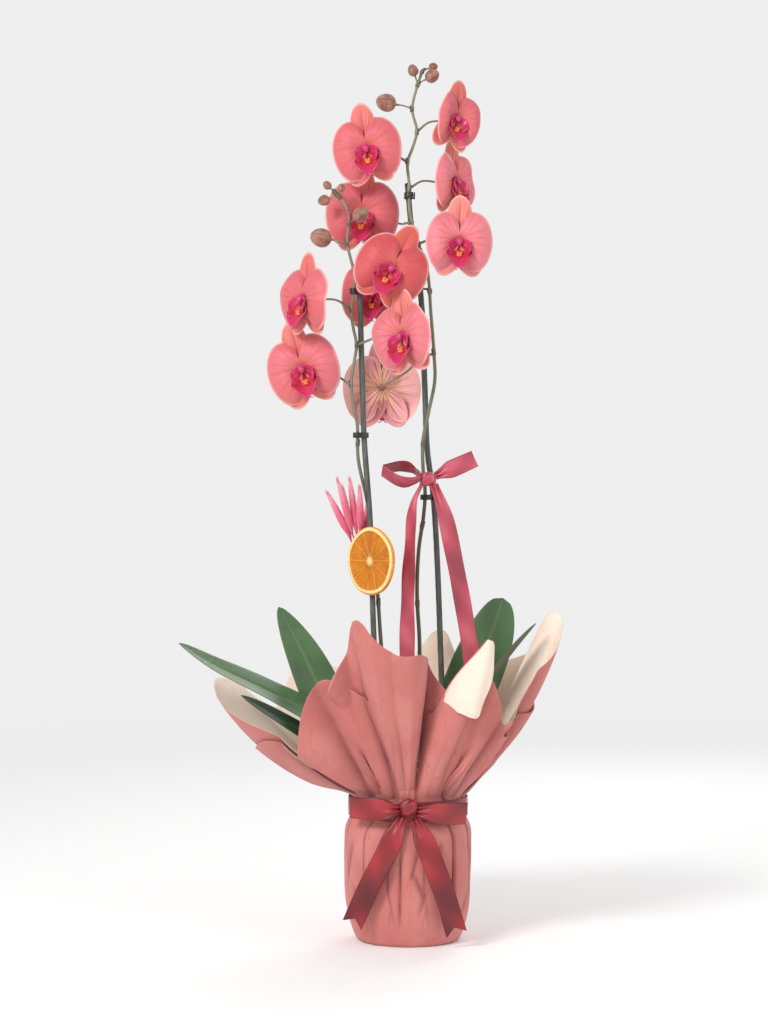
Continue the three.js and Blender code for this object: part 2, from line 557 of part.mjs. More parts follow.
// A bow's loop seen from above: it leaves the knot, swells and comes back.
function bowLoop(length, swell, sag, width) {
  const half = (x) => swell * Math.sin(Math.PI * Math.min(1, x / length) ** 0.8) + 1.2;
  const count = 9;
  const xs = Array.from({ length: count }, (_, i) => (length * i) / (count - 1));
  const bend = (x) => sag * (x / length) ** 2;
  const side = (sign, inset) => xs.map((x) => {
    const squeezed = inset + (x * (length - 2 * inset)) / length;
    return new THREE.Vector2(squeezed, bend(x) + sign * Math.max(half(x) - inset, 0.25));
  });
  const ring = (inset) => [...side(-1, inset), ...side(1, inset).reverse()];
  const outline = new THREE.Shape(ring(0));
  outline.holes.push(new THREE.Path(ring(SATIN * 0.75)));
  const strip = new THREE.ExtrudeGeometry(outline, { depth: width, bevelEnabled: false });
  return strip.translate(0, 0, -width / 2);
}

// A length of ribbon along a curve. `turns` gives the ribbon's width direction at both ends.
function ribbonTail(points, width, turns, notch) {
  const curve = curveThrough(points);
  const [first, last] = turns.map(vector);
  return shaped(new THREE.BoxGeometry(1, 1, 1, 2, 1, 10), (corner) => {
    const t = corner.z + 0.5;
    const along = curve.getTangent(t);
    const across = first.clone().lerp(last, t);
    across.addScaledVector(along, -across.dot(along)).normalize();
    const face = new THREE.Vector3().crossVectors(along, across);
    const pinch = 0.5 + 0.5 * Math.min(1, 5 * t);
    const point = curve.getPoint(t).addScaledVector(across, width * pinch * corner.x);
    point.addScaledVector(face, SATIN * corner.y);
    const isNotch = t > 0.999 && Math.abs(corner.x) < 0.01;
    return isNotch ? point.addScaledVector(along, -notch) : point;
  });
}

function knot(name, at, size, colour, group) {
  const ball = new THREE.SphereGeometry(1, 10, 6).scale(...size);
  addPiece(name, ball, colour, 0.4, group).position.set(...at);
}

// Turns a mirrored geometry's faces the right way round.
function flipped(geometry) {
  const bare = welded(geometry);
  const index = bare.getIndex();
  for (let i = 0; i < index.count; i += 3) {
    const kept = index.getX(i);
    index.setX(i, index.getX(i + 1));
    index.setX(i + 1, kept);
  }
  return bare;
}

const NECK_BOW_Y = -(BAND_R + SATIN + 5);
knot("neck_bow_knot", [0, NECK_BOW_Y, NECK_Z + 5], [7, 4.2, 7], COLOURS.ribbon, part);
const mirroredLoop = flipped(bowLoop(46, 5, 18, BOW_WIDTH).scale(-1, 1, 1));
addPiece("neck_bow_loop_left", mirroredLoop, COLOURS.ribbon, 0.4).position.set(-8.5, NECK_BOW_Y, NECK_Z + 3);
const rightLoop = addPiece("neck_bow_loop_right", bowLoop(46, 5, 18, BOW_WIDTH), COLOURS.ribbon, 0.4);
rightLoop.position.set(8.5, NECK_BOW_Y, NECK_Z + 1);
rightLoop.rotation.y = degrees(5);

addPiece("neck_bow_tail_left", ribbonTail([
  [-6, NECK_BOW_Y + 1, NECK_Z - 10], [-20, -BODY_R - 4.5, 92], [-37, -BODY_R - 0.5, 58],
  [-52.5, -BODY_R + 7.5, 22],
], BOW_WIDTH, [[0.8, -0.1, -0.55], [0.9, -0.2, -0.4]], 7), COLOURS.ribbon, 0.4);
addPiece("neck_bow_tail_right", ribbonTail([
  [6, NECK_BOW_Y - 2, NECK_Z - 12], [20, -BODY_R - 7.5, 88], [34, -BODY_R - 2.5, 50],
  [44.5, -BODY_R + 4.5, 14],
], BOW_WIDTH, [[0.85, 0.1, 0.5], [0.9, 0.2, 0.4]], 7), COLOURS.ribbon, 0.4);

const stakeBand = ringRound(rightStake, rightStem, 436.5, SATIN, STAKE_BOW_WIDTH * 0.6);
addToPlant("stake_bow_band", stakeBand, COLOURS.rose, 0.4);
knot("stake_bow_knot", [19, -12, 436], [6.5, 3.4, 7], COLOURS.rose, plant);
const turnedLoop = flipped(bowLoop(37, 9, 0, STAKE_BOW_WIDTH).scale(-1, 1, 1));
const looseLoop = addToPlant("stake_bow_loop_left", turnedLoop, COLOURS.rose, 0.4);
looseLoop.position.set(11.6, -14, 438);
looseLoop.rotation.set(degrees(50), degrees(10), 0, "YXZ");
const flatLoop = addToPlant("stake_bow_loop_right", bowLoop(41, 2.5, 0, STAKE_BOW_WIDTH), COLOURS.rose, 0.4);
flatLoop.position.set(26, -12.5, 439);
flatLoop.rotation.set(degrees(8), degrees(-24), 0, "YXZ");
addToPlant("stake_bow_tail_left", ribbonTail([
  [13, -16, 428.5], [5, -18, 412], [1.5, -18, 370], [-0.5, -17, 320], [-1, -16, 280], [-1, -15, 244],
], STAKE_BOW_WIDTH, [[0.45, -0.9, 0], [0.9, -0.35, 0]], 6), COLOURS.rose, 0.4);
addToPlant("stake_bow_tail_right", ribbonTail([
  [24, -16, 429], [34, -19, 404], [42, -20, 368], [50, -19, 327], [58.5, -18, 276], [62, -17, 250],
], STAKE_BOW_WIDTH, [[0.9, 0.3, 0.2], [0.97, 0.15, 0.15]], 6), COLOURS.rose, 0.4);

export default part;
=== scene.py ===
import math

import bmesh
import bpy
import numpy as np
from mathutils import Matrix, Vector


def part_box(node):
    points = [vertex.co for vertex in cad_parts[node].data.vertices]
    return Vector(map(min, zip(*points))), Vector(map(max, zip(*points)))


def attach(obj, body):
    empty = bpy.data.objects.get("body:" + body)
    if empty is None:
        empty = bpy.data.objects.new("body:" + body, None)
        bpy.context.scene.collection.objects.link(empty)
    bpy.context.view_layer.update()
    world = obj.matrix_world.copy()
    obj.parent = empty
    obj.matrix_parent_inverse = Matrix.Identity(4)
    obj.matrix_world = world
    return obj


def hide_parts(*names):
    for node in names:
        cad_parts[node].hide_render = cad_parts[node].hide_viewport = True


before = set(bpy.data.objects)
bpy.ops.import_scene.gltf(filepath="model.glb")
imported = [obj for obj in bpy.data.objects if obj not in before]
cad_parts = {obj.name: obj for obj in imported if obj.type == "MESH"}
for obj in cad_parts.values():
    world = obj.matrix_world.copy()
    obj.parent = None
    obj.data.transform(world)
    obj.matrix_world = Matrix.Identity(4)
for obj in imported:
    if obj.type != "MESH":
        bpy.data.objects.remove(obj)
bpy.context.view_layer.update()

# A moth orchid with two flower spikes tied to stakes, in a pot wrapped in two sheets of paper with
# satin bows, a dried orange slice and dried grass. Lengths here are in millimetres and angles in
# degrees; a mesh is made in metres. +Z is up, -Y the front and +X the right.
MM = 0.001
random = np.random.default_rng(7)

# ---------------------------------------------------------------- sizes shared with the frame
BASE_R = 49.0
BODY_R = 61.5
NECK_R = 55.5
NECK_Z = 127.2
RIBBON = 18.0
FLARE_START = NECK_Z + RIBBON / 2 + 1
FLARE_LENGTH = 200.0
EDGE_LENGTH = 100.0
POT_Z = 2.5
POT_HEIGHT = 104.0
POT_TOP_R = 56.0
POT_FOOT_R = 42.5
BARK_TOP = 94.5
STAKE_R = 2.9
STEM_R = 1.75
PEDICEL_R = 1.1
BUD_STALK_R = 0.85
CROWN_R = 12.0
BOW_WIDTH = 20.0
STAKE_BOW_WIDTH = 16.0


# ---------------------------------------------------------------- camera, floor and light
def look(obj, place, target):
    """Puts an object at a place and turns its -Z axis towards a target, both in millimetres."""
    obj.location = [MM * x for x in place]
    direction = np.subtract(target, place)
    flat = math.hypot(direction[0], direction[1])
    obj.rotation_euler = (math.pi / 2 + math.atan2(direction[2], flat), 0,
                          math.atan2(-direction[0], direction[1]))
    bpy.context.scene.collection.objects.link(obj)
    return obj


camera = look(bpy.data.objects.new("camera", bpy.data.cameras.new("camera")),
              (-22.8, -2200, 405), (-22.8, 0, 405))
camera.data.lens = 81.4
bpy.context.scene.camera = camera
bpy.context.scene.view_settings.view_transform = "Standard"


def soft_light(name, place, target, size, power, colour=(1, 1, 1)):
    """A large square light that points from a place to a target."""
    lamp = bpy.data.lights.new(name, "AREA")
    lamp.size = MM * size
    lamp.energy = power
    lamp.color = colour
    return look(bpy.data.objects.new(name, lamp), place, target)


soft_light("key_light", (-1000, -1400, 1400), (0, 0, 400), 600, 27)
soft_light("fill_light", (1500, -1100, 700), (0, 0, 400), 1200, 6)
soft_light("back_light", (600, 1500, 1300), (0, 0, 450), 1000, 12)
world = bpy.data.worlds.new("studio")
world.use_nodes = True
world.node_tree.nodes["Background"].inputs["Color"].default_value = (1.0, 0.995, 0.99, 1)
world.node_tree.nodes["Background"].inputs["Strength"].default_value = 0.42
bpy.context.scene.world = world


# ---------------------------------------------------------------- materials
def rgb(code):
    """The linear colour of a six-figure web colour."""
    values = [int(code[i:i + 2], 16) / 255 for i in (1, 3, 5)]
    return tuple(v / 12.92 if v <= 0.04045 else ((v + 0.055) / 1.055) ** 2.4 for v in values) + (1,)


class Signal:
    """A number in a material. Its operators and functions add nodes."""

    def __init__(self, paint, socket):
        self.paint = paint
        self.socket = socket

    def math(self, operation, a, b=0.0):
        """The answer of one Math node."""
        return self.paint.node("ShaderNodeMath", {"operation": operation}, {0: a, 1: b})

    def __add__(self, other):
        return self.math("ADD", self, other)

    def __mul__(self, other):
        return self.math("MULTIPLY", self, other)

    def __abs__(self):
        return self.math("ABSOLUTE", self)

    __radd__ = __add__
    __rmul__ = __mul__

    def sine(self):
        """The sine, of an angle in radians."""
        return self.math("SINE", self)

    def smooth(self, start, end):
        """0 below start and 1 above end, or the other way round where end is lower."""
        low, high, a, b = (start, end, 0.0, 1.0) if start < end else (end, start, 1.0, 0.0)
        settings = {"interpolation_type": "SMOOTHSTEP"}
        inputs = {0: self, 1: low, 2: high, 3: a, 4: b}
        return self.paint.node("ShaderNodeMapRange", settings, inputs)


class Paint:
    """One material: a Principled shader and the nodes that feed it."""

    def __init__(self, name, **constants):
        self.material = bpy.data.materials.new(name)
        self.material.use_nodes = True
        self.tree = self.material.node_tree
        self.shader = self.tree.nodes["Principled BSDF"]
        for socket, value in constants.items():
            self.shader.inputs[socket.replace("_", " ")].default_value = value

    def node(self, kind, settings, inputs, output=0):
        """Adds a node, sets its settings and then its sockets, each to a value or a link."""
        made = self.tree.nodes.new(kind)
        for setting, value in settings.items():
            setattr(made, setting, value)
        for key, value in inputs.items():
            self.feed(made.inputs[key], value)
        return Signal(self, made.outputs[output])

    def feed(self, socket, value):
        """Links a signal to a socket, or sets the socket to a plain value."""
        if isinstance(value, Signal):
            self.tree.links.new(value.socket, socket)
        else:
            socket.default_value = value

    def coordinates(self, scale=1.0):
        """Object coordinates in millimetres, times a scale for all axes or one for each."""
        place = self.node("ShaderNodeTexCoord", {}, {}, "Object")
        sizes = tuple(np.broadcast_to(np.array(scale) / MM, 3).tolist())
        return self.node("ShaderNodeVectorMath", {"operation": "MULTIPLY"}, {0: place, 1: sizes})

    def attribute(self, name):
        """The number that a mesh carries under a name."""
        return self.node("ShaderNodeAttribute", {"attribute_name": name}, {}, "Fac")

    def vector(self, x, y):
        """A place made of two signals, at height 0."""
        return self.node("ShaderNodeCombineXYZ", {}, {0: x, 1: y})

    def noise(self, vector, scale, detail=3.0, distortion=0.0):
        """Cloudy noise from 0 to 1, with `scale` cells in a unit of the vector."""
        inputs = {"Vector": vector, "Scale": scale, "Detail": detail, "Distortion": distortion}
        return self.node("ShaderNodeTexNoise", {}, inputs, "Fac")

    def mix(self, share, a, b):
        """Colour a where share is 0 and b where it is 1."""
        return self.node("ShaderNodeMix", {"data_type": "RGBA"}, {0: share, 6: a, 7: b}, 2)

    def finish(self, colour, roughness=None, height=None, depth=0.1):
        """Links the colour, the roughness and a bump of `depth` millimetres to the shader."""
        self.feed(self.shader.inputs["Base Color"], colour)
        if roughness is not None:
            self.feed(self.shader.inputs["Roughness"], roughness)
        if height is not None:
            sizes = {"Strength": 1.0, "Distance": MM * depth, "Height": height}
            bump = self.node("ShaderNodeBump", {}, sizes)
            self.feed(self.shader.inputs["Normal"], bump)
        return self.material


def petal_paint():
    """Coral petals with fan veins, orange towards the middle, a pale margin and a paler back.
    `along` runs from the middle of the flower to the margin, `across` round the fan, `tone` from
    pink to deep coral and `warmth` from petal to sepal."""
    paint = Paint("petal", Sheen_Weight=0.25, Sheen_Roughness=0.4, Specular_IOR_Level=0.3)
    along = paint.attribute("along")
    across = paint.attribute("across")
    tone = paint.attribute("tone")
    warmth = paint.attribute("warmth")
    grain = paint.coordinates()
    blotch = paint.noise(grain, 0.06, 2.0)
    wander = paint.noise(grain, 0.09, 2.0) * 1.6
    lines = (across * 30.0 + wander * 1.5).sine()
    fine = (across * 74.0 + wander * 3.0).sine()
    vein = lines.smooth(0.45, 1.0) * 0.7 + fine.smooth(0.5, 1.0) * 0.45
    vein = vein * along.smooth(1.0, 0.55) * (0.25 + warmth * 0.55 + blotch * 0.5)
    pink = paint.mix(tone, rgb("#DA7F8A"), rgb("#B93F44"))
    face = paint.mix(blotch.smooth(0.35, 0.75) * 0.45, pink, rgb("#CC665A"))
    salmon = paint.mix(tone, rgb("#D6836E"), rgb("#C05646"))
    face = paint.mix(warmth * 0.6, face, salmon)
    face = paint.mix(along.smooth(0.45, 0.05) * 0.5, face, rgb("#E0805E"))
    face = paint.mix(vein * 0.85, face, rgb("#B43A4A"))
    face = paint.mix(along.smooth(0.93, 0.995) * 0.7, face, rgb("#F0B8B4"))
    behind = paint.mix(along.smooth(0.75, 0.15), rgb("#EFB6B0"), rgb("#F0CF9C"))
    behind = paint.mix(vein * 1.3, behind, rgb("#C65C78"))
    behind = paint.mix(warmth * along.smooth(0.3, 1.0) * 0.6, behind, rgb("#CC7C86"))
    colour = paint.mix(paint.attribute("side"), face, behind)
    texture = paint.noise(grain, 1.6, 4.0)
    return paint.finish(colour, 0.42 + texture * 0.2, vein * -0.5 + texture * 0.35, 0.35)


def lip_paint():
    """The lip and column: crimson lobes with magenta edges, an orange callus with red spots and a
    pale anther cap. `part` is 0 on a lobe, 1 on the column and 2 on the callus."""
    paint = Paint("lip", Coat_Weight=0.25, Coat_Roughness=0.3, Sheen_Weight=0.2)
    along = paint.attribute("along")
    part = paint.attribute("part")
    grain = paint.coordinates()
    blotch = paint.noise(grain, 0.35, 3.0)
    streak = (paint.attribute("across") * 26.0 + blotch * 5.0).sine().smooth(0.2, 1.0)
    lobe = paint.mix(along.smooth(0.1, 0.95), rgb("#B8082C"), rgb("#C40E5C"))
    lobe = paint.mix(blotch.smooth(0.5, 0.75) * 0.5, lobe, rgb("#D81E40"))
    lobe = paint.mix(streak * along.smooth(1.0, 0.2) * 0.45, lobe, rgb("#8A0422"))
    lobe = paint.mix(along.smooth(0.94, 1.0) * 0.35, lobe, rgb("#E26A9E"))
    column = paint.mix(along.smooth(0.2, 0.95), rgb("#A8104A"), rgb("#BC2262"))
    spots = paint.noise(grain, 1.3, 1.0).smooth(0.45, 0.58)
    callus = paint.mix(spots * 0.8, rgb("#EE8A2A"), rgb("#B5203A"))
    colour = paint.mix(part.smooth(0.2, 0.8), lobe, column)
    colour = paint.mix(part.smooth(1.2, 1.8), colour, callus)
    return paint.finish(colour, 0.3 + blotch * 0.25, blotch, 0.4)


def stem_paint():
    """A smooth spike: olive-brown near the leaves and greyer above, with fine lengthwise lines,
    darker bracts at the nodes and a blush on the flower stalks."""
    paint = Paint("stem", Coat_Weight=0.1, Coat_Roughness=0.4)
    height = paint.attribute("along")
    grain = paint.coordinates((1.0, 1.0, 0.06))
    streak = paint.noise(grain, 1.1, 4.0)
    blotch = paint.noise(paint.coordinates(), 0.05, 2.0)
    low = paint.mix(streak, rgb("#3E4432"), rgb("#5E6048"))
    high = paint.mix(streak, rgb("#6B6852"), rgb("#8E8A72"))
    colour = paint.mix(height.smooth(0.15, 0.95), low, high)
    colour = paint.mix(blotch.smooth(0.5, 0.7) * 0.4, colour, rgb("#6B4A3E"))
    colour = paint.mix(paint.attribute("bract") * 0.75, colour, rgb("#57432F"))
    colour = paint.mix(paint.attribute("stalk") * 0.45, colour, rgb("#A0705C"))
    return paint.finish(colour, 0.42 + streak * 0.2, streak, 0.25)


def bud_paint():
    """A closed bud: olive-brown flushed with rose, darker along its three seams, with a soft
    bloom."""
    paint = Paint("bud", Sheen_Weight=0.2, Sheen_Roughness=0.5)
    grain = paint.coordinates()
    blotch = paint.noise(grain, 0.14, 3.0)
    speck = paint.noise(grain, 1.2, 4.0)
    seam = paint.attribute("seam")
    colour = paint.mix(blotch.smooth(0.35, 0.65), rgb("#7E4A3C"), rgb("#9C705C"))
    colour = paint.mix(paint.attribute("along").smooth(0.65, 1.0) * 0.5, colour, rgb("#8B8060"))
    colour = paint.mix(seam * 0.6, colour, rgb("#6E3A34"))
    colour = paint.mix(speck.smooth(0.6, 0.8) * 0.3, colour, rgb("#C9A48C"))
    return paint.finish(colour, 0.42 + speck * 0.2, speck + seam * -1.5, 0.25)


def leaf_paint():
    """A leathery leaf: deep green with parallel veins, a lighter midrib groove, a pale thin
    margin, and a duller underside with a purple tinge."""
    paint = Paint("leaf", Coat_Weight=0.18, Coat_Roughness=0.35, Specular_IOR_Level=0.45)
    along = paint.attribute("along")
    across = paint.attribute("across")
    blotch = paint.noise(paint.coordinates(), 0.03, 3.0)
    strands = paint.noise(paint.vector(across * 34.0, along * 1.6), 1.0, 3.0)
    top = paint.mix(blotch.smooth(0.3, 0.7), rgb("#31522C"), rgb("#446A3C"))
    top = paint.mix(strands * 0.3, top, rgb("#5F7C58"))
    top = paint.mix(abs(across).smooth(0.12, 0.0) * 0.55, top, rgb("#7E946A"))
    top = paint.mix(abs(across).smooth(0.05, 0.0) * 0.5, top, rgb("#2E4229"))
    top = paint.mix(abs(across).smooth(0.94, 1.0) * 0.5, top, rgb("#7D6B52"))
    top = paint.mix(paint.attribute("shade"), top, rgb("#2C3A25"))
    under = paint.mix(strands, rgb("#41583A"), rgb("#5B6450"))
    colour = paint.mix(paint.attribute("side"), top, under)
    pores = paint.noise(paint.coordinates(), 2.2, 2.0)
    return paint.finish(colour, 0.33 + blotch * 0.22, strands + pores * 0.3, 0.3)


def paper_paint():
    """Two-tone florist's paper: dusty rose outside and warm cream inside, matt, with long fibres,
    a soft mottle and crushed lines, and painted shade that darkens it along its valleys, fold edges and
    dents."""
    paint = Paint("paper", Specular_IOR_Level=0.25, Sheen_Weight=0.12, Sheen_Roughness=0.6)
    grain = paint.coordinates()
    mottle = paint.noise(grain, 0.02, 4.0)
    fibre = paint.noise(grain, 0.9, 5.0, 1.2)
    crush = paint.noise(paint.coordinates((1.0, 1.0, 0.25)), 0.11, 5.0, 2.0)
    rose = paint.mix(mottle.smooth(0.3, 0.7), rgb("#BD6A64"), rgb("#C97C75"))
    rose = paint.mix(fibre.smooth(0.45, 0.8) * 0.2, rose, rgb("#D99790"))
    rose = paint.mix(crush.smooth(0.58, 0.75) * 0.3, rose, rgb("#964742"))
    cream = paint.mix(mottle.smooth(0.3, 0.7), rgb("#EBD3BF"), rgb("#F4E2D2"))
    cream = paint.mix(fibre.smooth(0.45, 0.8) * 0.3, cream, rgb("#FBF0E6"))
    cream = paint.mix(crush.smooth(0.6, 0.78) * 0.2, cream, rgb("#CFA58C"))
    crease = paint.attribute("crease")
    # Painted shade: the rose, and more weakly the cream, is darkened where the crease mark is high, along
    # valleys, fold edges and dents.
    rose = paint.mix(crease * 0.9, rose, rgb("#6E2426"))
    cream = paint.mix(crease * 0.3, cream, rgb("#C99F86"))
    cream_side = paint.attribute("side") * paint.attribute("under").smooth(0.5, 0.3)
    colour = paint.mix(cream_side, rose, cream)
    return paint.finish(colour, 0.62 + fibre * 0.2, fibre * 0.4 + crush, 0.35)


def satin_paint(name, dark, light, painted_highlight):
    """Satin ribbon: fine cross threads, soft slanting bands of painted light and shade that rise to a
    painted highlight, and painted shade that darkens its edges."""
    paint = Paint(name, Sheen_Weight=0.08, Sheen_Roughness=0.3, Specular_IOR_Level=0.6)
    along = paint.attribute("along")
    across = paint.attribute("across")
    thread = (along * 9.0).sine()
    weft = (across * 60.0).sine()
    # Painted light and shade: slow sines along and across the ribbon run from the dark colour to the
    # light one, and their crests take the painted highlight colour.
    broad_painted_light = (along * 0.055 + across * 0.9).sine() * 0.65
    sway = broad_painted_light + (along * 0.14 + across * -1.6).sine() * 0.35
    colour = paint.mix(sway.smooth(-0.9, 0.6), rgb(dark), rgb(light))
    colour = paint.mix(sway.smooth(0.35, 1.0) * 0.55, colour, rgb(painted_highlight))
    # Painted shade along the edges of the ribbon, which leaves its middle lighter.
    colour = paint.mix(abs(across).smooth(0.90, 0.97) * 0.3, colour, rgb(dark))
    colour = paint.mix(thread.smooth(0.3, 1.0) * 0.06, colour, rgb(light))
    return paint.finish(colour, 0.30 + abs(sway) * 0.1, thread * 0.5 + weft * 0.5, 0.04)


def orange_paint():
    """A dried orange slice: amber pulp with radial vesicles, pale skins between the segments, a
    pale core and pith, and a pitted orange rind. `across` is 0 in the middle of a segment's face
    and 1 on a skin, `along` runs from the core to the rind."""
    paint = Paint("orange", Coat_Weight=0.12, Coat_Roughness=0.25, Specular_IOR_Level=0.35)
    radius = paint.attribute("along")
    skin = paint.attribute("across")
    angle = paint.attribute("turn")
    grain = paint.coordinates()
    vesicle = paint.noise(paint.vector(angle * 9.0, radius * 3.2), 1.0, 4.0, 0.6)
    cloud = paint.noise(grain, 0.07, 3.0)
    pulp = paint.mix(vesicle.smooth(0.3, 0.7), rgb("#B45E00"), rgb("#DE8E00"))
    pulp = paint.mix(cloud.smooth(0.45, 0.7) * 0.5, pulp, rgb("#A85600"))
    pulp = paint.mix(vesicle.smooth(0.66, 0.78) * 0.4, pulp, rgb("#F4B74A"))
    pulp = paint.mix(skin * 0.4, pulp, rgb("#E6A23C"))
    pulp = paint.mix(radius.smooth(0.2, 0.06), pulp, rgb("#F5D295"))
    face = paint.mix(radius.smooth(0.875, 0.90), pulp, rgb("#F6D394"))
    pits = paint.noise(grain, 0.9, 2.0)
    rind = paint.mix(pits.smooth(0.35, 0.65), rgb("#CE7A1C"), rgb("#E9A34C"))
    colour = paint.mix(radius.smooth(0.965, 0.985), face, rind)
    return paint.finish(colour, 0.3 + vesicle * 0.3, vesicle + pits, 0.5)


def grain_paint(name, dark, light, scale, stretch=1.0, depth=0.3, spot="#000000", **constants):
    """A rough natural or moulded surface: two colours in a noise that may be stretched along Z,
    with a few darker or lighter spots, and bumps of the same grain."""
    paint = Paint(name, **constants)
    grain = paint.coordinates((1.0, 1.0, 1.0 / stretch))
    noise = paint.noise(grain, scale, 5.0)
    spots = paint.noise(grain, scale * 3.1, 3.0)
    colour = paint.mix(noise.smooth(0.3, 0.7), rgb(dark), rgb(light))
    colour = paint.mix(spots.smooth(0.62, 0.75) * 0.5, colour, rgb(spot))
    base = constants.get("Roughness", 0.6)
    return paint.finish(colour, (base - 0.1) + noise * 0.25, noise + spots * 0.5, depth)


def grass_paint():
    """Dyed dried grass: raspberry pink, deeper at the foot, with bleached tips."""
    paint = Paint("grass", Sheen_Weight=0.5, Sheen_Roughness=0.5)
    along = paint.attribute("along")
    blotch = paint.noise(paint.coordinates(), 0.3, 3.0)
    colour = paint.mix(blotch, rgb("#CE3A62"), rgb("#E4718A"))
    colour = paint.mix(along.smooth(0.45, 1.0) * 0.8, colour, rgb("#EDA9B8"))
    colour = paint.mix(along.smooth(0.2, 0.0) * 0.6, colour, rgb("#B92B50"))
    return paint.finish(colour, 0.6 + blotch * 0.2, blotch, 0.3)


PETAL = petal_paint()
LIP = lip_paint()
STEM = stem_paint()
BUD = bud_paint()
LEAF = leaf_paint()
PAPER = paper_paint()
# Each satin: its name, the dark colour of its painted shade, its lit colour and its painted highlight.
NECK_SATIN = satin_paint("neck_satin", "#5E0A12", "#8A131D", "#AE2A33")
ROSE_SATIN = satin_paint("rose_satin", "#8A2A3A", "#AE3D4F", "#C9606F")
ORANGE = orange_paint()
GRASS = grass_paint()
BARK = grain_paint("bark", "#2E1B10", "#7A4B2C", 0.25, 1.0, 0.8, "#A9825A", Roughness=0.85)
PLASTIC = grain_paint("pot_plastic", "#3B2016", "#54301F", 0.05, 1.0, 0.08, "#6A4632", Roughness=0.45)
STAKE = grain_paint("stake_plastic", "#3C413C", "#5A5F57", 0.5, 9.0, 0.3, "#7A7D70", Roughness=0.5)
CLIP = grain_paint("clip_plastic", "#1E1812", "#2E261E", 0.4, 1.0, 0.06, "#4A3C30", Roughness=0.32)
ROOT = grain_paint("root", "#8B9078", "#B3B49A", 0.3, 3.0, 0.3, "#6F7A55", Roughness=0.75)
CROWN = grain_paint("crown", "#50663F", "#6C7F55", 0.1, 5.0, 0.3, "#7A5A48", Roughness=0.5)


# ---------------------------------------------------------------- meshes from grids
def curve(points, count):
    """Points spaced evenly along the smooth curve through the given points: a Catmull-Rom curve
    whose knots are spaced by the square root of the distance between points. Each span is a cubic
    between its end points, p, with the tangents leave and arrive."""
    given = np.array(points, float)
    p = np.vstack([2 * given[:1] - given[1:2], given, 2 * given[-1:] - given[-2:-1]])
    gap = np.sqrt(np.linalg.norm(np.diff(p, axis=0), axis=1))[:, None]
    slope = np.diff(p, axis=0) / gap
    wide = (p[2:] - p[:-2]) / (gap[:-1] + gap[1:])
    t = np.linspace(0, 1, 24, endpoint=False)[:, None]
    pieces = []
    for i in range(1, len(p) - 2):
        leave = gap[i] * (slope[i - 1] - wide[i - 1] + slope[i])
        arrive = gap[i] * (slope[i] - wide[i] + slope[i + 1])
        rise = (2 * t ** 3 - 3 * t ** 2 + 1) * p[i] + (t ** 3 - 2 * t ** 2 + t) * leave
        pieces.append(rise + (3 * t ** 2 - 2 * t ** 3) * p[i + 1] + (t ** 3 - t ** 2) * arrive)
    fine = np.vstack([*pieces, given[-1:]])
    return at_distance(fine, np.linspace(0, 1, count) * run(fine)[-1])


def run(path):
    """The distance along a path to each of its points."""
    return np.concatenate([[0], np.cumsum(np.linalg.norm(np.diff(path, axis=0), axis=1))])


def at_distance(path, distance):
    """The points of a path at distances along it; the answer has the distances' shape."""
    measured = run(path)
    return np.stack([np.interp(distance, measured, path[:, k]) for k in range(3)], -1)


def unit(vectors):
    """Vectors divided by their lengths."""
    return vectors / np.maximum(np.linalg.norm(vectors, axis=-1, keepdims=True), 1e-9)


def along_of(path):
    """The direction of a path at each of its points."""
    return unit(np.gradient(path, axis=0))


def smooth(x, start, end):
    """0 where x is below start, 1 above end, and a soft step between; the other way round where
    end is lower."""
    t = np.clip((np.asarray(x, float) - start) / (end - start), 0, 1)
    return t * t * (3 - 2 * t)


def turn_matrix(yaw=0.0, pitch=0.0, roll=0.0, order="ZXY"):
    """A rotation from angles about Z (yaw), X (pitch) and Y (roll); the last in the order turns
    first."""
    angle = {"Z": yaw, "X": pitch, "Y": roll}
    whole = np.eye(3)
    for axis in order:
        k = "XYZ".index(axis)
        c = math.cos(math.radians(angle[axis]))
        s = math.sin(math.radians(angle[axis]))
        a, b = (k + 1) % 3, (k + 2) % 3
        step = np.eye(3)
        step[a, a] = step[b, b] = c
        step[a, b] = -s
        step[b, a] = s
        whole = whole @ step
    return whole


def quads(index, wrap=False):
    """The four corners of every square of a grid of vertex numbers."""
    if wrap:
        index = np.hstack([index, index[:, :1]])
    corners = [index[:-1, :-1], index[:-1, 1:], index[1:, 1:], index[1:, :-1]]
    return np.stack(corners, -1).reshape(-1, 4)


def surface(points, wrap=True, **attributes):
    """A closed skin from a grid whose rows are rings; its first and last rings are points."""
    rows, columns = points.shape[:2]
    index = np.arange(rows * columns).reshape(rows, columns)
    marks = {k: np.broadcast_to(v, (rows, columns)).ravel() for k, v in attributes.items()}
    return points.reshape(-1, 3), quads(index, wrap), marks


def solid_sheet(points, thickness, wrap=False, back_side=1.0, **attributes):
    """A thin closed plate: the grid moved half the thickness to each side along its normals, and a
    rim between the two faces. `side` is `back_side` behind and the other of 0 and 1 in front."""
    rows, columns = points.shape[:2]
    if wrap:
        sideways = np.roll(points, -1, 1) - np.roll(points, 1, 1)
    else:
        sideways = np.gradient(points, axis=1)
    normal = unit(np.cross(sideways, np.gradient(points, axis=0)))
    offset = normal * (np.asarray(thickness, float) / 2)[..., None]
    front = np.arange(rows * columns).reshape(rows, columns)
    back = front + rows * columns
    faces = [quads(front, wrap), quads(back[::-1], wrap)]
    faces += [quads(np.stack([back[0], front[0]]), wrap), quads(np.stack([front[-1], back[-1]]), wrap)]
    if not wrap:
        faces.append(quads(np.stack([front[:, 0], back[:, 0]])))
        faces.append(quads(np.stack([back[:, -1], front[:, -1]])))
    marks = {k: np.tile(np.broadcast_to(v, (rows, columns)).ravel(), 2) for k, v in attributes.items()}
    marks["side"] = np.repeat([1.0 - back_side, back_side], rows * columns)
    both = np.vstack([(points + offset).reshape(-1, 3), (points - offset).reshape(-1, 3)])
    return both, np.vstack(faces), marks


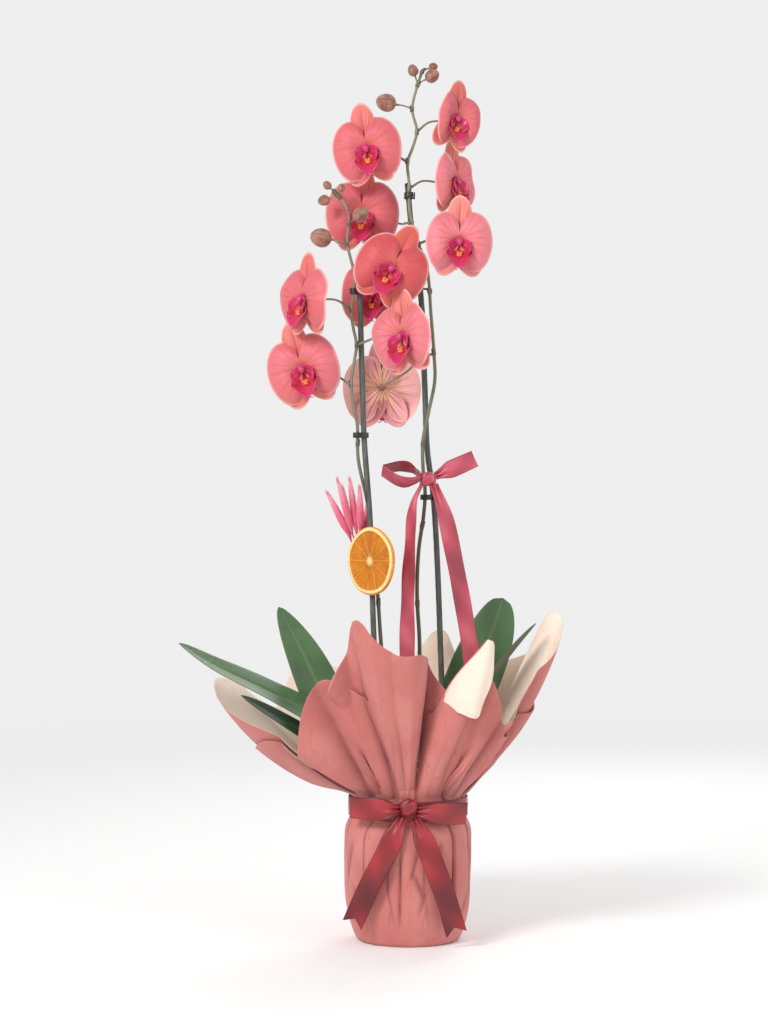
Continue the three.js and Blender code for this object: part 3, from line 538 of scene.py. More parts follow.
def tube(path, radius, sides=10, **attributes):
    """A round tube along a path with a radius at each point, closed by a shallow cone at each end.
    The rings are square to the path and start from the direction that the path uses least."""
    along = along_of(path)
    least = np.linalg.svd(along)[2][-1]
    side = unit(np.cross(along, least))
    up = np.cross(side, along)
    radius = np.broadcast_to(radius, len(path)).astype(float)
    turn = np.linspace(0, 2 * np.pi, sides, endpoint=False)
    ring = np.cos(turn)[None, :, None] * side[:, None] + np.sin(turn)[None, :, None] * up[:, None]
    points = path[:, None] + ring * radius[:, None, None]
    first = path[:1, None] - along[:1, None] * radius[0] * 0.4 + 0 * ring[:1]
    last = path[-1:, None] + along[-1:, None] * radius[-1] * 0.4 + 0 * ring[:1]
    marks = {}
    for name, value in attributes.items():
        value = np.broadcast_to(value, len(path))
        marks[name] = np.concatenate([value[:1], value, value[-1:]])[:, None]
    return surface(np.concatenate([first, points, last]), **marks)


def lathe(profile, segments=96, wobble=0.0):
    """A skin turned about +Z from [radius, height] pairs, closed at the axis; the radius may
    wobble round the turn."""
    radius, height = np.array(profile, float).T
    turn = np.linspace(0, 2 * np.pi, segments, endpoint=False)
    waves = 1 + wobble * (np.sin(3 * turn + 1) + 0.6 * np.sin(7 * turn))
    r = radius[:, None] * waves[None]
    points = np.stack([r * np.cos(turn), r * np.sin(turn), height[:, None] + 0 * r], -1)
    return surface(points)


def moved(part, matrix=None, offset=(0, 0, 0)):
    """A part turned by a matrix and then moved."""
    points, faces, marks = part
    turned = points if matrix is None else points @ np.asarray(matrix).T
    return turned + np.asarray(offset, float), faces, marks


def show(name, mesh, material):
    """Puts a mesh in the scene as a piece that rides on the one body."""
    mesh.materials.append(material)
    made = bpy.data.objects.new(name, mesh)
    bpy.context.scene.collection.objects.link(made)
    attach(made, "root")
    return made


def make_piece(name, parts, material, replaces="", weld=True):
    """One object from parts, each of vertices, faces and attributes. Doubles are merged so that
    seams and poles are closed, faces are turned outwards, and the shading is smooth. A piece that
    has its node's own name ends in _real."""
    counts = np.cumsum([0] + [len(points) for points, _, _ in parts])
    points = np.vstack([p for p, _, _ in parts]) * MM
    faces = np.vstack([f + start for (_, f, _), start in zip(parts, counts)])
    mesh = bpy.data.meshes.new(name)
    mesh.from_pydata(points, [], faces.tolist())
    for key in sorted({k for _, _, marks in parts for k in marks}):
        values = [marks.get(key, np.zeros(len(p))) for p, _, marks in parts]
        mesh.attributes.new(key, "FLOAT", "POINT").data.foreach_set("value", np.concatenate(values))
    shell = bmesh.new()
    shell.from_mesh(mesh)
    if weld:
        bmesh.ops.remove_doubles(shell, verts=shell.verts, dist=1e-7)
        bmesh.ops.dissolve_degenerate(shell, edges=shell.edges, dist=1e-8)
    bmesh.ops.recalc_face_normals(shell, faces=shell.faces)
    shell.to_mesh(mesh)
    shell.free()
    mesh.polygons.foreach_set("use_smooth", np.ones(len(mesh.polygons), bool))
    made = show(name + "_real" if name == replaces else name, mesh, material)
    if replaces:
        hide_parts(replaces)
    return made


# ---------------------------------------------------------------- floor
def floor_finish():
    """A matt pale floor. From 0.5 to 2.6 m from the middle it turns into an even glow, so that no
    horizon shows."""
    paint = Paint("floor", Roughness=0.8)
    place = paint.coordinates(MM)
    cloud = paint.noise(place, 2.0, 2.0)
    paint.finish(paint.mix(cloud, (0.90, 0.90, 0.90, 1), (0.93, 0.93, 0.93, 1)))
    distance = paint.node("ShaderNodeVectorMath", {"operation": "LENGTH"}, {0: place}, "Value")
    glow = paint.node("ShaderNodeEmission", {}, {"Color": (0.86, 0.86, 0.86, 1)})
    blend = paint.node("ShaderNodeMixShader", {}, {0: distance.smooth(0.5, 2.6), 2: glow})
    paint.tree.links.new(paint.shader.outputs[0], blend.socket.node.inputs[1])
    surface_socket = paint.tree.nodes["Material Output"].inputs["Surface"]
    paint.tree.links.new(blend.socket, surface_socket)
    return paint.material


def floor():
    """The floor: a dish turned from [radius, height] pairs in metres, flat under the pot and
    rising into a wall 6 m away."""
    sides = 96
    profile = [(0, 0), (0.4, 0), (1.0, 0), (2.5, 0), (4.0, 0), (4.8, 0.2), (5.6, 0.9), (6.0, 2.0),
               (6.0, 5.5)]
    turn = np.linspace(0, 2 * np.pi, sides, endpoint=False)[None]
    radius, height = np.array(profile, float).T[..., None]
    points = np.stack([radius * np.cos(turn), radius * np.sin(turn), height + 0 * turn], -1)
    mesh = bpy.data.meshes.new("floor")
    faces = quads(np.arange(len(profile) * sides).reshape(-1, sides), True)[:, ::-1]
    mesh.from_pydata(points.reshape(-1, 3), [], faces.tolist())
    mesh.polygons.foreach_set("use_smooth", np.ones(len(mesh.polygons), bool))
    mesh.materials.append(floor_finish())
    made = bpy.data.objects.new("floor", mesh)
    bpy.context.scene.collection.objects.link(made)


floor()


# ---------------------------------------------------------------- stakes and stems
LEFT_STAKE = [(-22, 24, 10), (-26.4, 18.8, 131), (-33, 11, 298), (-36, 7, 395), (-41.6, 3, 474),
              (-43.8, 0, 541), (-46, -4, 621)]
RIGHT_STAKE = [(37, 9, 12), (31.4, 8, 266), (24.4, 8, 418), (18.5, 8, 464), (16, 8, 528),
               (12.3, 8, 612), (3.4, 8, 676), (-0.4, 8, 718)]
LEFT_STEM = [(-9.8, 10.2, 109), (-12, 14, 180), (-24, 17, 262), (-30, 16, 340), (-38, 13, 410),
             (-47.4, 5, 456), (-48.2, -1, 488), (-52.3, -6, 509), (-54, -8, 525), (-50.8, -9, 548),
             (-48.8, -9, 563), (-52, -9, 580), (-54, -9, 596), (-50.9, -9.5, 616), (-51.5, -9.5, 632),
             (-57.5, -9, 660), (-55.8, -9, 685), (-61, -9, 698), (-69, -9, 707)]
RIGHT_STEM = [(4.1, -13.5, 111), (8, -9, 190), (11, -3, 276), (8.6, -1, 327), (10.2, -1, 369),
              (14.8, -2, 402), (16.2, -2, 424), (14.3, -1, 446), (14.3, -1, 473), (19.6, -1, 500),
              (25.5, 0, 530), (24.7, 1, 556), (22, 1, 592), (17.5, 1, 640), (8, -0.5, 664),
              (1.6, -1, 690), (1, -1, 718), (-0.4, -1, 737), (4.4, -1, 751), (8.3, -1, 767),
              (4, -1, 787), (7.5, -1, 805), (13.6, -1, 824)]


def at_height(path, height):
    """The point of a rising path at a height."""
    return np.array([np.interp(height, path[:, 2], path[:, k]) for k in range(3)])


def stake(name, points):
    """A slightly ribbed plastic stake: its radius ripples a little every few millimetres."""
    path = curve(points, 240)
    ribs = 0.05 * np.sin(run(path) * 1.6)
    radius = STAKE_R - 0.15 + ribs
    make_piece(name, [tube(path, radius, 14)], STAKE, name)
    return path


left_stake = stake("stake_left", LEFT_STAKE)
right_stake = stake("stake_right", RIGHT_STAKE)

# Each flower: name, place, (yaw, pitch, roll), scale, how far its petals swing forward in degrees,
# tone from pink to coral, where its stalk leaves the stem, and the points that the stalk passes.
FLOWERS = [
    ("flower_01", (43.5, -8, 777.6), (30, 0, 12), 0.84, 30, 0.55, (8.3, -1, 766), ()),
    ("flower_02", (41.8, 6, 720.6), (48, 0, 4), 0.9, 18, 0.25, (1, -1, 712), ()),
    ("flower_03", (47.9, -18, 660.9), (2, 0, 2), 0.96, 16, 0.1, (10, 0, 660), ()),
    ("flower_04", (-38.9, -12, 749.1), (-8, 0, -10), 0.97, 10, 0.6, (-0.4, -1, 737), ()),
    ("flower_05", (-43.8, 17, 691.6), (-4, 0, 0), 1.03, 8, 0.65, (2, -1, 680),
     ((-3, 7, 680), (-7.5, 25, 682))),
    ("flower_06", (-15.3, -27, 634.4), (2, 0, 28), 1.0, 6, 0.9, (17.5, 1, 640), ()),
    ("flower_07", (-32, 20, 615.7), (-14, 0, 0), 0.96, 8, 0.7, (20, 1, 615),
     ((19, 15, 618), (0, 24, 620))),
    ("flower_08", (-3.2, -38, 570.1), (-33, 0, -8), 1.0, 20, 0.3, (-48.8, -9, 563), ()),
    ("flower_09", (-95.1, -27, 605.6), (-45, 0, 2), 0.97, 14, 0.6, (-54, -9, 596), ()),
    ("flower_10", (-99.6, -6, 541.6), (-10, 0, -18), 1.03, 10, 0.45, (-54, -8, 525), ()),
    ("flower_11", (-24.7, 37, 524.9), (178, 0, 0), 1.08, 6, 0.2, (24.7, 1, 556),
     ((12, 0.5, 550), (-2, 7, 538))),
]
LEFT_FLOWERS = ("flower_08", "flower_09", "flower_10")
# Each bud: name, place, radius, and where its stalk leaves the stem.
BUDS = [
    ("bud_right_1", (-20.9, -2, 793.6), 9.3, (4, -1, 788)),
    ("bud_right_2", (4.6, -5.5, 823.6), 5.5, (9.4, -1, 811)),
    ("bud_right_3", (23, -4, 818.6), 6.8, (9.4, -1, 811)),
    ("bud_right_4", (24.2, 5.5, 829), 4.4, (13.4, -1, 823.4)),
    ("bud_left_1", (-82.6, -9, 664.6), 9.8, (-57.4, -9, 659)),
    ("bud_left_2", (-44.7, -15, 686), 7.8, (-55.9, -9, 677)),
    ("bud_left_3", (-79.8, -8, 700), 5.6, (-66, -9, 703.8)),
    ("bud_left_4", (-76.5, -11, 714), 4.2, (-68.6, -9, 706.6)),
    ("bud_left_5", (-63.2, -11, 711.6), 3.8, (-64.5, -9, 702.4)),
]
HUB = 5.0                     # how far the back of a flower lies behind its middle
BARE_NODES = (205, 318, 392, 470)


def bract(foot, along, away, size):
    """A small scale leaf that clasps the stem below a stalk: a half cone, open upwards, whose rim
    comes to a point on the outer side."""
    half_turn = 2.0
    t = np.linspace(0, 1, 7)[:, None]
    turn = np.linspace(-half_turn, half_turn, 13)[None]
    side = np.cross(along, away)
    reach = size * (1 - 0.75 * (turn / half_turn) ** 2)
    radius = STEM_R + 0.15 + 0.5 * t
    out = np.cos(turn)[..., None] * away + np.sin(turn)[..., None] * side
    points = foot + out * radius[..., None] + (t * reach)[..., None] * along
    return solid_sheet(points, 0.35 + 0 * t * turn, bract=1.0, stalk=0.0, along=0.6)


def spike(name, points, starts):
    """A flower spike: the stem tapers and swells at its nodes, where the stalks leave it with a
    bract below each; the stalks thicken into the backs of the flowers and buds."""
    path = curve(points, 420)
    distance = run(path)
    share = distance / distance[-1]
    radius = (STEM_R + 0.35) * (1 - 0.38 * share)
    joints = [start for start, _, _ in starts]
    joints += [at_height(path, z) for z in BARE_NODES]
    parts = []
    for joint in joints:
        near = np.linalg.norm(path - np.array(joint), axis=1)
        radius = radius + 0.55 * np.exp(-(near / 2.6) ** 2)
        k = int(near.argmin())
        along = along_of(path)[min(k, len(path) - 2)]
        away = np.array([1.0, -0.4, 0.0])
        for start, route, _ in starts:
            if start is joint:
                away = np.array(route[1]) - path[k]
        away = unit(away - along * (away @ along))
        parts.append(bract(path[k] - along * 2.5, along, away, 6.5))
    parts.insert(0, tube(path, radius, 12, along=share, bract=0.0, stalk=0.0))
    for start, route, thick in starts:
        stalk = curve(route, 40)
        t = np.linspace(0, 1, 40)
        girth = thick * (1.25 - 0.4 * np.sin(np.pi * t) + 0.35 * t ** 4 + 1.5 * t ** 14)
        height = np.interp(start[2], path[:, 2], share)
        parts.append(tube(stalk, girth, 8, along=height, bract=0.0, stalk=smooth(t, 0.1, 0.9)))
    make_piece(name, parts, STEM, name)


def stalk_route(place, angles, start, between):
    """The way of a flower's stalk: from the stem to a point behind the flower and into its back."""
    matrix = turn_matrix(*angles)
    end = np.array(place) + matrix @ (0, HUB - 2.0, 0)
    behind = np.array(place) + matrix @ (0, HUB + 11, 0)
    start = np.array(start, float)
    bend = [start + 0.45 * (behind - start) + (0, 3, 5)]
    return [start, *(between or bend), behind, end]


routes = {"spike_left": [], "spike_right": []}
for name, place, angles, *_, start, between in FLOWERS:
    owner = "spike_left" if name in LEFT_FLOWERS else "spike_right"
    routes[owner].append((start, stalk_route(place, angles, start, between), PEDICEL_R))
for name, place, radius, start in BUDS:
    towards = unit(np.array(start, float) - place)
    end = np.array(place) + towards * 0.8 * radius
    bend = (np.array(start) + end) / 2 + (0, 0, 0.1 * radius)
    owner = "spike_left" if "left" in name else "spike_right"
    routes[owner].append((start, [np.array(start, float), bend, end], BUD_STALK_R))
spike("spike_left", LEFT_STEM, routes["spike_left"])
spike("spike_right", RIGHT_STEM, routes["spike_right"])


# ---------------------------------------------------------------- flowers
def fan(outline, form, thickness, **attributes):
    """A petal as a fan of rays from its foot. The outline is a list of [angle, reach] on the face
    of the flower, 0 to the right and 90 up, joined smoothly, and a point at share t of a ray lies
    at t times its reach. `form` gives how far a point stands forward, from its x, its t and its
    place across the fan. The plate thins towards its margin."""
    rays, rings = 45, 26
    angle, reach = np.array(outline, float).T
    smoothed = curve(np.column_stack([angle, reach, 0 * angle]), 200)
    heading = np.linspace(smoothed[0, 0], smoothed[-1, 0], rays)
    length = np.interp(heading, smoothed[:, 0], smoothed[:, 1])
    t = 0.03 + 0.97 * np.linspace(0, 1, rings)[:, None] ** 0.85
    x = t * length * np.cos(np.radians(heading))
    z = t * length * np.sin(np.radians(heading))
    across = np.broadcast_to(np.linspace(-1, 1, rays), x.shape)
    points = np.stack([x, -form(x, t, across), z], -1)
    rim = smooth(abs(across), 0.93, 1.0) * smooth(t, 0.25, 0.7)
    thin = thickness * (1 - 0.75 * np.maximum(smooth(t, 0.8, 1.0) + 0 * across, rim))
    margin = np.maximum(t + 0 * across, rim)
    return solid_sheet(points, thin, back_side=0.0, along=margin, across=across, **attributes)


# Outlines as [angle, reach]; a petal overlaps the sepals, and its upper inner corner is cut in.
PETAL_RIGHT = [(-79, 13), (-76, 24), (-68, 32), (-57, 36.6), (-40, 37.2), (-22, 36), (0, 35.2),
               (20, 35), (40, 34.6), (58, 33), (74, 29), (84, 23.5), (90, 15)]
SEPAL_HALF_LENGTH = 22.5
SEPAL_HALF_WIDTH = 12.5


def sepal_outline(heading, length=SEPAL_HALF_LENGTH, width=SEPAL_HALF_WIDTH):
    """An ellipse seen from its own end: reach = 2a cos / (cos^2 + (a/b)^2 sin^2)."""
    away = np.radians(np.linspace(-84, 84, 21))
    reach = 2 * length * np.cos(away) / (np.cos(away) ** 2 + (length / width) ** 2 * np.sin(away) ** 2)
    return [(heading + math.degrees(a), r) for a, r in zip(away, reach)]


SEPALS = [sepal_outline(90), sepal_outline(-62, 19.5, 12), sepal_outline(-118, 19.5, 12)]


def mirror(outline):
    """The same outline on the left side."""
    return [(180 - angle, reach) for angle, reach in reversed(outline)]


def petals_of(scale, cup, tone, rough):
    """The two broad petals: domed forward near the middle, with their outer margins swung forward
    by `cup` degrees, two slow ripples that grow with the cube of t, and a groove along the middle.
    A cupped petal is narrower, by the cosine of 1.3 times the cup."""
    swing = math.tan(math.radians(cup))
    narrow = math.cos(math.radians(min(45, 1.3 * cup)))
    parts = []
    for outline in (mirror(PETAL_RIGHT), PETAL_RIGHT):
        wave = rough.uniform(-1, 1, 3)

        def form(x, t, across, wave=wave):
            out = abs(x)
            dome = 6.5 * np.sin(np.pi * np.clip(t, 0, 1) ** 0.9) - 4.5 * t ** 3
            slow = 1.6 * np.sin(across * 4.6 + wave[0] * 3)
            quick = 1.0 * np.sin(across * 8.5 + wave[1] * 3)
            groove = -1.8 * np.exp(-((across - 0.1) / 0.16) ** 2) * t
            ends = -2.6 * smooth(abs(across), 0.7, 1.0) * t
            swung = swing * out * smooth(out, 0, 24) * 0.8
            return 1.6 + swung + dome + (slow + quick) * t ** 3 + ends + groove

        points, faces, marks = fan(outline, form, 0.75, tone=tone, warmth=0.0)
        parts.append((points * (scale * narrow, scale, scale), faces, marks))
    return parts


def sepals_of(scale, tone, rough):
    """The dorsal sepal and the two lower ones, behind the petals: each has a shallow keel along
    its middle, faint lengthwise lines and margins that turn back a little."""
    parts = []
    for outline in SEPALS:
        wave = rough.uniform(-1, 1)

        def form(_, t, across, wave=wave):
            keel = 2.2 * np.exp(-(across / 0.14) ** 2) * (1 - 0.6 * t)
            lines = 0.35 * np.cos(across * 16) * smooth(t, 0.1, 0.4) * (1 - t)
            curve_back = 3.2 * np.sin(np.pi * t * 0.75) - 2.5 * t ** 2
            return -0.8 + curve_back - keel - lines + 1.1 * np.sin(across * 4 + wave * 3) * t ** 3

        points, faces, marks = fan(outline, form, 0.7, tone=tone, warmth=1.0)
        parts.append((points * scale, faces, marks))
    return parts


# The lobes of the lip, each as its foot, the directions of its width, its length and its curl, and
# then its width, length, curl and thickness. A side lobe has a twin on the left.
SIDE_LOBES = [
    ((1.0, -5, -11.5), (0.60, -0.42, -0.68), (0.72, -0.25, 0.65), (-0.35, -0.9, 0.15),
     20, 14.5, 0.55, 0.9),
    ((1.5, -6, -12), (0.30, -0.35, -0.88), (0.93, -0.30, -0.2), (-0.25, -0.8, 0.5),
     17, 13.5, 0.6, 0.9),
]
FRONT_LOBE = ((0, -6.5, -11), (1, 0, 0), (0, -0.42, -0.9), (0, 0.9, -0.42), 23, 21, -0.25, 1.3)
WHISKER = [(1.5, -14.5, -29), (2.4, -16, -30.2), (3.8, -16, -30.4), (4.6, -15, -29.8)]
# The humps of the callus, each as its middle, its radii and its rings and sides.
CALLUS = [((0, -11.0, -15.5), (2.9, 2.0, 1.9), 12, 16),
          ((1.5, -11.6, -13.4), (1.5, 1.6, 1.5), 10, 12),
          ((-1.5, -11.6, -13.4), (1.5, 1.6, 1.5), 10, 12)]
COLUMN = [(0, 1, 1.0), (0, -4.5, 0.6), (0, -9, -1.6), (0, -11.4, -5.4)]
COLUMN_R = 0.74 * np.array([3.2, 3.3, 3.5, 3.8, 4.1, 4.4, 4.7, 5.0, 5.2, 5.3, 5.3, 5.1, 4.8, 4.4,
                            3.9, 3.2, 2.3, 1.2])


def lobe(foot, out, up, face, width, length, curl, thickness):
    """One lobe of the lip: an egg-shaped blade that leaves its foot along `up`, swells to its
    width along `out` as a flattened half sine, and curls towards `face` with the square of its
    length."""
    t = np.linspace(0.0, 1, 16)[:, None]
    s = np.linspace(-1, 1, 13)[None]
    half = np.maximum(width / 2 * np.sin(np.pi * (0.12 + 0.88 * t) ** 0.8) ** 0.65, 0.3)
    dish = 0.22 * width * (s ** 2) * np.sin(np.pi * t) * np.sign(curl)
    bend = curl * (t ** 2) * length * 0.5 + dish
    out, up, face = (unit(np.array(v, float)) for v in (out, up, face))
    points = foot + (t * length + 0 * s)[..., None] * up + (half * s)[..., None] * out
    points = points + bend[..., None] * face
    thick = thickness * (1.1 - 0.5 * t) + 0 * s
    return solid_sheet(points, thick, along=t + 0 * s, across=s + 0 * t, part=0.0)


def egg(centre, radii, rings, sides, **marks):
    """A closed egg about +Z, narrower towards its top by the cosine of the polar angle. A mark is
    a number, or a function of the polar angle and the turn."""
    t = np.linspace(0, np.pi, rings)[:, None]
    turn = np.linspace(0, 2 * np.pi, sides, endpoint=False)[None]
    narrow = 1 + 0.12 * np.cos(t)
    x = radii[0] * np.sin(t) * narrow * np.cos(turn)
    y = radii[1] * np.sin(t) * narrow * np.sin(turn)
    z = -radii[2] * np.cos(t) + 0 * turn
    marks = {k: (v(t, turn) if callable(v) else v) for k, v in marks.items()}
    return surface(np.stack([x, y, z], -1) + np.array(centre, float), **marks)


def lip_of(scale):
    """The lip with its column: two upright side lobes that cup the middle, a broad pointed front
    lobe with two thin whiskers, a callus of three humps and a hooded column above."""
    parts = []
    for sign in (-1, 1):
        mirrored = np.array((sign, 1.0, 1.0))
        for foot, out, up, face, *sizes in SIDE_LOBES:
            parts.append(lobe(*(np.array(v) * mirrored for v in (foot, out, up, face)), *sizes))
        whisker = curve(np.array(WHISKER) * mirrored, 14)
        parts.append(tube(whisker, np.linspace(0.6, 0.2, 14), 6, along=0.9, across=0.0, part=0.0))
    parts.append(lobe(*FRONT_LOBE))
    for centre, radii, rings, sides in CALLUS:
        parts.append(egg(centre, radii, rings, sides, along=0.5, across=0.0, part=2.0))
    column = curve(COLUMN, len(COLUMN_R))
    along = np.linspace(0, 1, len(COLUMN_R))
    parts.append(tube(column, COLUMN_R, 16, along=along, across=0.0, part=1.0))
    parts.append(egg((0, -2.6, -5.0), (6.0, 1.8, 7.0), 12, 16, along=0.2, across=0.0, part=0.0))
    return [(points * scale, faces, marks) for points, faces, marks in parts]


def flower(name, place, angles, scale, cup, tone):
    """A flower in three pieces: its sepals, its petals, and its lip with the column. Its ripples
    are drawn from a seed that is its number."""
    rough = np.random.default_rng(int(name[-2:]))
    matrix = turn_matrix(*angles)
    groups = [("sepals", sepals_of(scale, tone, rough), PETAL),
              ("petals", petals_of(scale, cup, tone, rough), PETAL),
              ("lip", lip_of(scale), LIP)]
    for part_name, parts, material in groups:
        turned = [moved(part, matrix, place) for part in parts]
        replaces = name if part_name == "petals" else ""
        make_piece(f"{name}_{part_name}", turned, material, replaces)


for name, place, angles, scale, cup, tone, *_ in FLOWERS:
    flower(name, place, angles, scale, cup, tone)


def bud(name, place, radius, start):
    """A bud: an egg with its narrow end away from the stalk, whose three sepals meet in shallow
    seams."""
    def seam(t, turn):
        return np.exp(-(np.sin(1.5 * turn) / 0.16) ** 2) * np.sin(t)

    def share(t, turn):
        return t / np.pi + 0 * turn

    radii = (0.92 * radius, 0.92 * radius, 1.05 * radius)
    points, faces, marks = egg((0, 0, 0), radii, 26, 42, along=share, seam=seam)
    points = points * (1 - 0.045 * marks["seam"])[:, None]
    axis = unit(np.array(place, float) - start)
    side = unit(np.cross(axis, (0.1, 1, 0.2)))
    matrix = np.stack([side, np.cross(axis, side), axis], 1)
    make_piece(name, [moved((points, faces, marks), matrix, place)], BUD, name)


for name, place, radius, start in BUDS:
    bud(name, place, radius, start)


# ---------------------------------------------------------------- leaves
def crown_foot(azimuth, height):
    """A point just outside the crown at an azimuth and a height."""
    radius = CROWN_R + STEM_R + 0.6
    turn = math.radians(azimuth)
    return (radius * math.cos(turn), radius * math.sin(turn), height)


# Each leaf: the line of its midrib, its width, the direction of its width, how deep its keel is,
# and how much it lies in shade.
LEAVES = {
    "leaf_left_long": ([crown_foot(-160, 116), (-32, -10, 144), (-52, -14, 178), (-79, -18, 206),
                        (-131, -24, 236), (-183, -28, 262), (-215, -30, 282)],
                       40, (0.12, -0.8, -0.5), 3, 0.0),
    "leaf_left_upright": ([crown_foot(161, 130), (-28, 8.5, 155), (-54, 12, 186), (-76, 15, 219),
                           (-100, 17, 268), (-124, 18, 314)], 42, (-0.86, -0.25, -0.45), 4, 0.0),
    "leaf_left_low": ([crown_foot(-143, 106), (-34, -15, 134), (-60, -20, 166), (-84, -24, 187),
                       (-122, -27, 212), (-157, -28, 233)], 26, (0.1, -0.75, -0.6), 2, 0.75),
    "leaf_right_broad": ([crown_foot(45, 122), (30, 23, 160), (46, 27, 204), (66, 29, 252), (82, 31, 292),
                          (92, 32, 322)], 52, (-0.85, 0.1, 0.5), 3, 0.0),
    "leaf_right_edge": ([crown_foot(-20, 113), (30, -10, 150), (48, -12, 192), (68, -12, 231),
                         (96, -12, 270), (121, -12, 300)], 32, (0.2, 0.95, -0.2), 3, 0.2),
    "leaf_right_low": ([crown_foot(-51, 103), (28, -24, 136), (44, -31, 168), (60, -36, 200),
                        (82, -38, 242)], 22, (0.4, 0.7, -0.5), 2, 0.7),
}


def leaf(name, points, width, across, keel, shade, blunt):
    """A strap leaf: its half width is a power of a half sine along it, kept from closing at the
    foot; its section is a shallow V with a groove along the midrib, its margins wave slowly, and
    `blunt` makes its tip rounder."""
    rows, columns = 72, 25
    path = curve(points, rows)
    along = along_of(path)
    side = unit(across - along * (along @ np.array(across, float))[:, None])
    up = np.cross(along, side)
    t = np.linspace(0, 1, rows)[:, None]
    s = np.linspace(-1, 1, columns)[None]
    swell = np.sin(np.pi * np.minimum(1, 0.06 + 0.94 * t) ** (1.15 + 0.5 * blunt)).clip(0, 1)
    outline = swell ** (0.62 - 0.2 * blunt)
    outline = np.maximum(outline, 0.16 * smooth(t, 0.5, 0.0) + 0.015)
    half = 0.5 * width * outline
    lift = keel * outline * abs(s) ** 1.4 - 0.7 * np.exp(-(s / 0.07) ** 2) * outline
    wave = 0.03 * width * np.sin(t * 9 + s * 1.5) * s ** 2 * outline
    grid = path[:, None] + (half * s)[..., None] * side[:, None] + (lift + wave)[..., None] * up[:, None]
    thick = (0.5 + 1.3 * (1 - s ** 2)) * (0.35 + 0.65 * outline)
    sheet = solid_sheet(grid, thick, back_side=0.0, along=t + 0 * s, across=s + 0 * t, shade=shade)
    make_piece(name, [sheet], LEAF, name)


for name, (points, width, across, keel, shade) in LEAVES.items():
    blunt = 1.0 if name == "leaf_right_broad" else 0.0
    leaf(name, points, width, np.array(across, float), keel, shade, blunt)


# ---------------------------------------------------------------- pot, bark, crown and root
def pot():
    """The grow pot: a thin wall whose radius grows evenly with height, with a rolled rim, a flat
    floor and shallow rings, a sine of the height."""
    def wall(z):
        return POT_FOOT_R + (POT_TOP_R - POT_FOOT_R) * z / POT_HEIGHT
    heights = np.linspace(2, POT_HEIGHT - 6, 40)
    outer = [(wall(z) + 0.25 * math.sin(z * 0.34), z) for z in heights]
    rim = [(POT_TOP_R - 0.2, POT_HEIGHT - 4.5), (POT_TOP_R, POT_HEIGHT - 1),
           (POT_TOP_R - 0.8, POT_HEIGHT), (POT_TOP_R - 2.2, POT_HEIGHT - 0.8)]
    inner = [(wall(z) - 1.8, z) for z in np.linspace(POT_HEIGHT - 6, 2.4, 12)]
    profile = [(0, 0), (POT_FOOT_R - 1, 0), (POT_FOOT_R, 0.8), *outer, *rim, *inner, (0, 1.8)]
    shell = moved(lathe(profile, 120), None, (0, 0, POT_Z))
    make_piece("grow_pot_shell", [shell], PLASTIC, "grow_pot")


def chips(count, spread, low, high):
    """Bark chips: boxes with knocked-off corners, each thrown down at its own turn, evenly over a
    disc, so the distance from its middle is a square root of a draw. One small grid is scaled and
    turned for all of them at once."""
    corner = np.array([(x, y, z) for x in (-1, 0, 1) for y in (-1, 0, 1) for z in (-1, 1)], float)
    shape = corner / np.linalg.norm(corner * (0.62, 0.62, 0.55), axis=1)[:, None]
    index = np.arange(18).reshape(3, 3, 2)
    top = quads(index[..., 1])
    bottom = quads(index[::-1, :, 0])
    ring = [(0, 0), (1, 0), (2, 0), (2, 1), (2, 2), (1, 2), (0, 2), (0, 1)]
    walls = quads(np.array([index[corner] for corner in ring]).T[::-1], wrap=True)
    faces = np.vstack([top, bottom, walls])
    sizes = random.uniform((3.5, 2.4, 1.0), (8.5, 5.0, 2.4), (count, 3))
    jitter = random.uniform(0.8, 1.2, (count, 18, 1))
    turns = [turn_matrix(a, b, c) for a, b, c in random.uniform((0, -28, -28), (360, 28, 28), (count, 3))]
    height = random.uniform(low, high, count)
    azimuth = random.uniform(0, 2 * np.pi, count)
    reach = spread * np.sqrt(random.uniform(0.07, 1, count))
    place = np.stack([reach * np.cos(azimuth), reach * np.sin(azimuth), height], 1)
    local = shape[None] * sizes[:, None] * jitter
    points = np.einsum("nij,nkj->nki", np.array(turns), local) + place[:, None]
    index = faces[None] + 18 * np.arange(count)[:, None, None]
    return points.reshape(-1, 3), index.reshape(-1, 4), {}


def bark():
    """The bark mix: a rough bed, a disc raised in bumps that are a product of two sines, with
    loose chips on it."""
    radius = np.linspace(0, 49.5, 34)[:, None]
    turn = np.linspace(0, 2 * np.pi, 90, endpoint=False)
    foot_height = 6
    bumps = 1.4 * np.sin(radius * 0.9 + 3 * np.sin(turn * 3)) * np.sin(turn * 11 + radius * 0.4)
    height = BARK_TOP - 5 + bumps * smooth(radius, 0, 8)
    top = np.stack([radius * np.cos(turn), radius * np.sin(turn), height], -1)[::-1]
    foot = np.stack([0.82 * top[:1, :, 0], 0.82 * top[:1, :, 1], 0 * turn[None] + foot_height], -1)
    centre = np.zeros((1, 90, 3)) + (0, 0, foot_height)
    bed = surface(np.concatenate([centre, foot, top]))
    make_piece("bark_bed", [bed], BARK, "bark_medium")
    loose = chips(230, 46, BARK_TOP - 5, BARK_TOP - 0.6)
    make_piece("bark_chips", [loose], BARK, weld=False)


